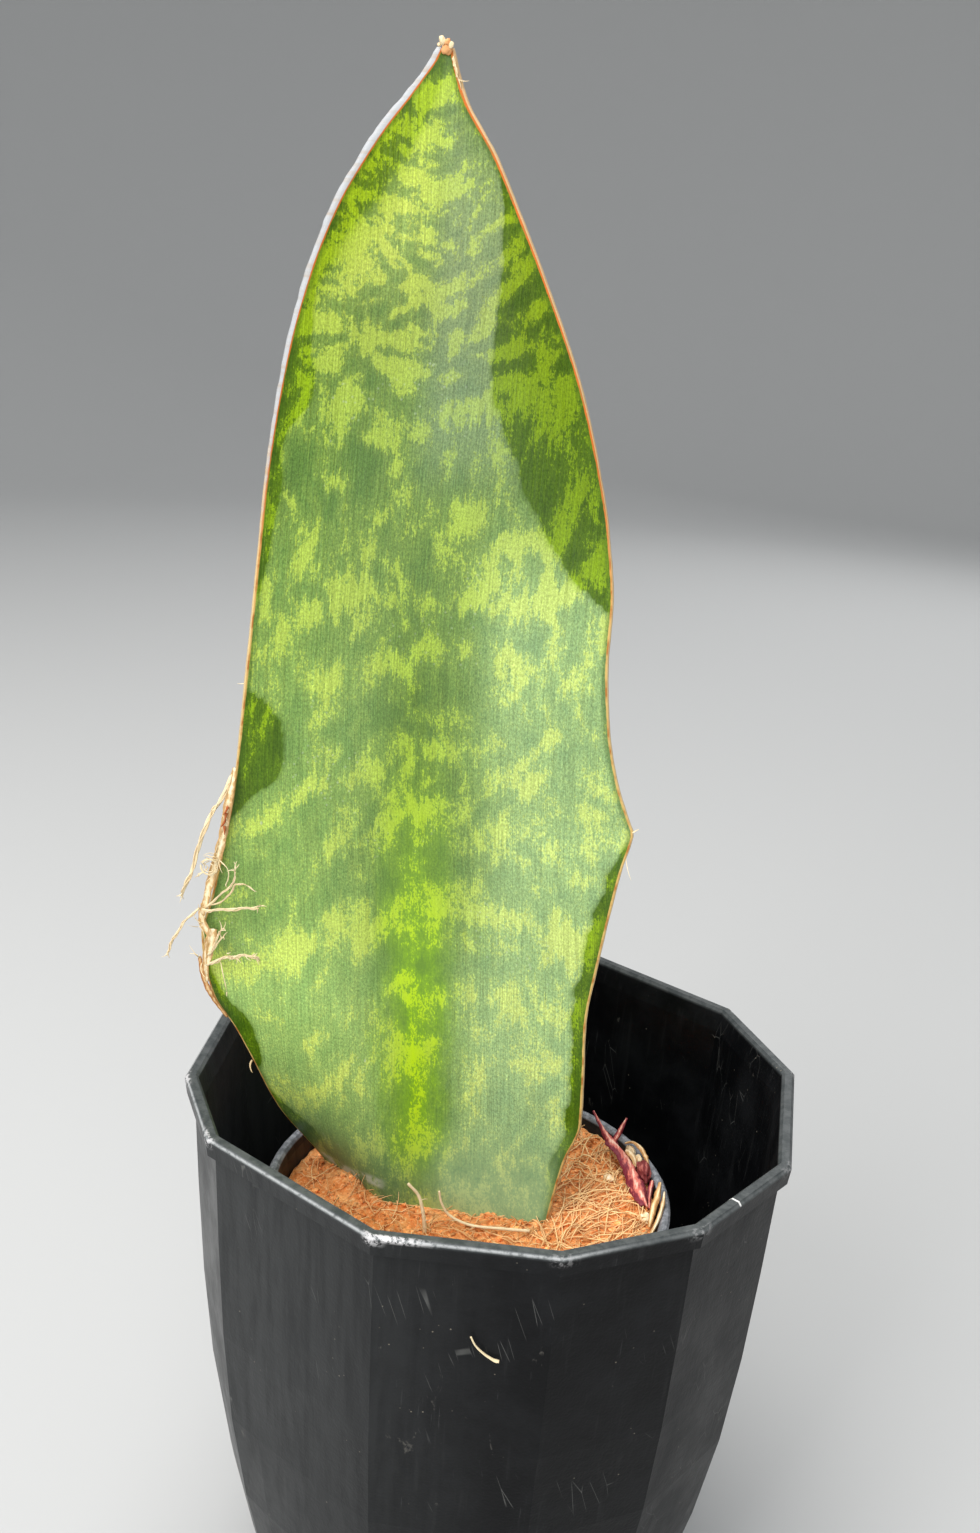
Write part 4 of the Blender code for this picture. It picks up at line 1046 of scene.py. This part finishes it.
# Name, CAD node, material, slot, thickness, cup, raggedness, seed, widths and route.
STRIPS = (
    ("dry_sheath_strip", "dry_sheath", SHEATH, "dry_sheath", 0.45, 0.55, 0.3, 2,
     (0.6, 1.1, 2.2, 3.9, 4.3, 4.2, 4, 3.7, 2.4), ((26.2, 15.2, 130.6), (28.4, 12, 128.2),
     (30.2, 9.9, 126.3), (31.6, 8, 125), (33.6, 4, 124.3), (35.4, -1, 124), (36.6, -6.5, 123.7),
     (37.5, -11.5, 123.4), (38.2, -15.2, 123))),
    ("dry_sheath_prong", None, SHEATH, "dry_sheath", 0.4, 0.4, 0.2, 4, (1.7, 1.5, 1.1, 0.5),
     ((31.6, 9.6, 124.6), (33, 11.2, 126.8), (34.4, 12.8, 129), (35.2, 13.6, 130.2))),
    ("dry_sheath_fork", "sheath_fork", SHEATH, "dry_sheath", 0.4, 0.4, 0.25, 6, (1, 1.6, 1.6, 1),
     ((40.9, -5, 124), (39.9, -8.9, 123), (39.5, -11.2, 122.6), (39.6, -14.8, 122.4))),
    ("husk_edge_strip", "husk_strip", STRAW_LIGHT, "beige_husk", 0.4, 0.4, 0.3, 8, (0.8, 1.6, 1.7, 0.9),
     ((42.2, -9.2, 126.4), (41.3, -13.4, 125.4), (40.1, -17.4, 124.4), (38.8, -22.6, 122.6))),
    ("husk_edge_sliver", None, HUSK_PALE, "beige_husk", 0.35, 0.5, 0.3, 11, (0.5, 1, 1.1, 0.6),
     ((43.2, -11.6, 125.4), (42.4, -16.2, 124.7), (40.8, -21.4, 123.8), (38.8, -26, 122.8))),
    ("husk_edge_curl", None, STRAW_LIGHT, "beige_husk", 0.35, 0.5, 0.3, 13, (0.7, 1.3, 1.4, 1.1, 0.6),
     ((34.8, 9, 125.4), (36.6, 8.2, 126.2), (38.6, 6.2, 126), (39.9, 3.8, 124.9), (40.4, 1.8, 123.9))),
    ("husk_edge_shell", None, HUSK_PALE, "beige_husk", 0.35, 0.5, 0.3, 17, (1, 1.9, 1.8, 0.8),
     ((35, 7, 124.6), (36, 5, 124.9), (36.7, 2.8, 124.5), (37, 0.8, 123.8))),
)
# Name, CAD node, centre, half sizes, turn, tilt, seed, material and slot.
HUSKS = (
    ("husk_dark_chunk", "husk_chunk", (38.9, -1.6, 124.2), (1.9, 3.6, 2.5), 12, 8, 3, HUSK_DARK,
     "dark_husk"),
    ("husk_pale_1", "husk_chip_1", (36.3, 7.8, 123.9), (0.8, 2.1, 1.6), 30, 10, 5, HUSK_PALE, "beige_husk"),
    ("husk_pale_2", "husk_chip_2", (38.1, 3.6, 124.2), (0.8, 1.8, 1.5), 20, 0, 8, HUSK_PALE, "beige_husk"),
    ("husk_pale_3", "husk_chip_3", (38.4, -18.9, 122.5), (1.6, 2.2, 0.9), -20, 14, 13, HUSK_PALE,
     "beige_husk"),
    ("husk_pale_4", "husk_chip_4", (30.4, -2.4, 122.3), (1.3, 1.9, 0.7), 60, 0, 21, HUSK_PALE,
     "beige_husk"),
)


def build_debris():
    for name, node, stuff, slot, thickness, curl, ragged, seed, widths, points in STRIPS:
        ribbon(name, points, widths, stuff, slot, node, thickness, curl, ragged, seed)
    for name, node, centre, half, turn, tilt, seed, stuff, slot in HUSKS:
        lump(name, centre, half, turn, tilt, seed, stuff, slot, node)

    strands = Strands()
    points = (
        (-2.6, -71.4, 127), (-1.4, -71.2, 124.6), (0.6, -71, 122.5), (2.6, -71.1, 121.3),
        (3.7, -71.3, 121.2),
    )
    path = spline(points, 7)
    count = len(path) - 1
    radii = [0.2 + 0.3 * (i / count) ** 2 * (1 if i < count - 2 else 0.6) for i in range(count + 1)]
    strands.add(path, radii, 0.85, 8)
    strands.build("stuck_root_fragment", DRY_FIBRE, node="root_fragment")


# ---------------------------------------------------------------- stage, light and camera


def area_light(name, place, target, width, height, power, colour):
    lamp = bpy.data.lights.new(name, "AREA")
    lamp.shape = "RECTANGLE"
    lamp.size, lamp.size_y = width, height
    lamp.energy = power
    lamp.color = colour
    obj = bpy.data.objects.new(name, lamp)
    bpy.context.scene.collection.objects.link(obj)
    obj.location = place
    obj.rotation_euler = (Vector(target) - Vector(place)).to_track_quat("-Z", "Y").to_euler()


def build_stage():
    """A round pale floor that sweeps up at its edge, with a dim world and four soft lights, in metres."""
    profile = [(0.4, 0), (0.9, 0), (FLOOR_RADIUS, 0)]
    for k in range(1, SWEEP_STEPS + 1):
        a = math.pi / 2 * k / SWEEP_STEPS
        profile.append((FLOOR_RADIUS + SWEEP_RADIUS * math.sin(a), SWEEP_RADIUS * (1 - math.cos(a))))
    profile.append((FLOOR_RADIUS + SWEEP_RADIUS, WALL_TOP))
    verts = [(0, 0, 0)]
    for radius, z in profile:
        for k in range(FLOOR_SECTORS):
            a = math.tau * k / FLOOR_SECTORS
            verts.append((radius * math.cos(a) / MM, radius * math.sin(a) / MM, z / MM))
    faces = [(0, 1 + k, 1 + (k + 1) % FLOOR_SECTORS) for k in range(FLOOR_SECTORS)]
    faces += [face[::-1] for face in quads(len(profile), FLOOR_SECTORS, 1)]
    floor = new_object("studio_sweep", verts, faces, plain_stuff("pale_paper", (0.5, 0.5, 0.495), 0.85))
    world = bpy.data.worlds.new("studio")
    bpy.context.scene.world = world
    world.use_nodes = True
    back = world.node_tree.nodes["Background"]
    back.inputs["Color"].default_value = (0.8, 0.84, 0.88, 1)
    back.inputs["Strength"].default_value = 0.55
    area_light("front_window", (-0.1, -1.4, 0.66), (-0.02, 0, 0.25), 1.35, 1.2, 13, (0.95, 0.98, 1))
    area_light("top_soft", (-0.3, 0.05, 1.45), (0, 0, 0.15), 1.1, 1.1, 17, (1, 0.99, 0.97))
    area_light("left_key", (-0.85, -0.95, 1.15), (-0.01, -0.01, 0.15), 0.8, 0.8, 17, (1, 0.99, 0.98))
    area_light("rear_soft", (0.7, 1.5, 0.9), (0, 0, 0.18), 1, 0.9, 7, (0.98, 0.99, 1))


def build_camera():
    lens = bpy.data.cameras.new("camera")
    lens.sensor_fit = "AUTO"
    lens.sensor_width = SENSOR
    lens.lens = SENSOR * FOCAL_SHARE
    lens.clip_start = 0.01
    lens.clip_end = 20
    camera = bpy.data.objects.new("camera", lens)
    bpy.context.scene.collection.objects.link(camera)
    ahead = Vector(CAMERA_AHEAD).normalized()
    up = Vector(CAMERA_RIGHT).normalized().cross(ahead).normalized()
    turn = Matrix((ahead.cross(up), up, -ahead)).transposed()
    camera.matrix_world = Matrix.Translation(Vector(CAMERA_PLACE) * MM) @ turn.to_4x4()
    bpy.context.scene.camera = camera


build_camera()
build_stage()
build_leaf()
build_leaf_tip()
build_frays()
build_coir()
build_crumbs()
build_coir_fibres()
build_debris()
# The CAD nodes that stay visible get their materials.
ROOT_SKIN = fibre_stuff("root_skin", (0.45, 0.3, 0.14), (0.72, 0.58, 0.36))
kept = {"outer_pot": POT, "nursery_cup": CUP, "rhizome": ROOT_SKIN}
kept.update((f"root_{k}", ROOT_SKIN) for k in range(1, 6))
for node, stuff in kept.items():
    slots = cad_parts[node].data.materials
    slots.clear()
    slots.append(stuff)

bpy.context.scene.view_settings.view_transform = "Standard"
bpy.context.view_layer.update()
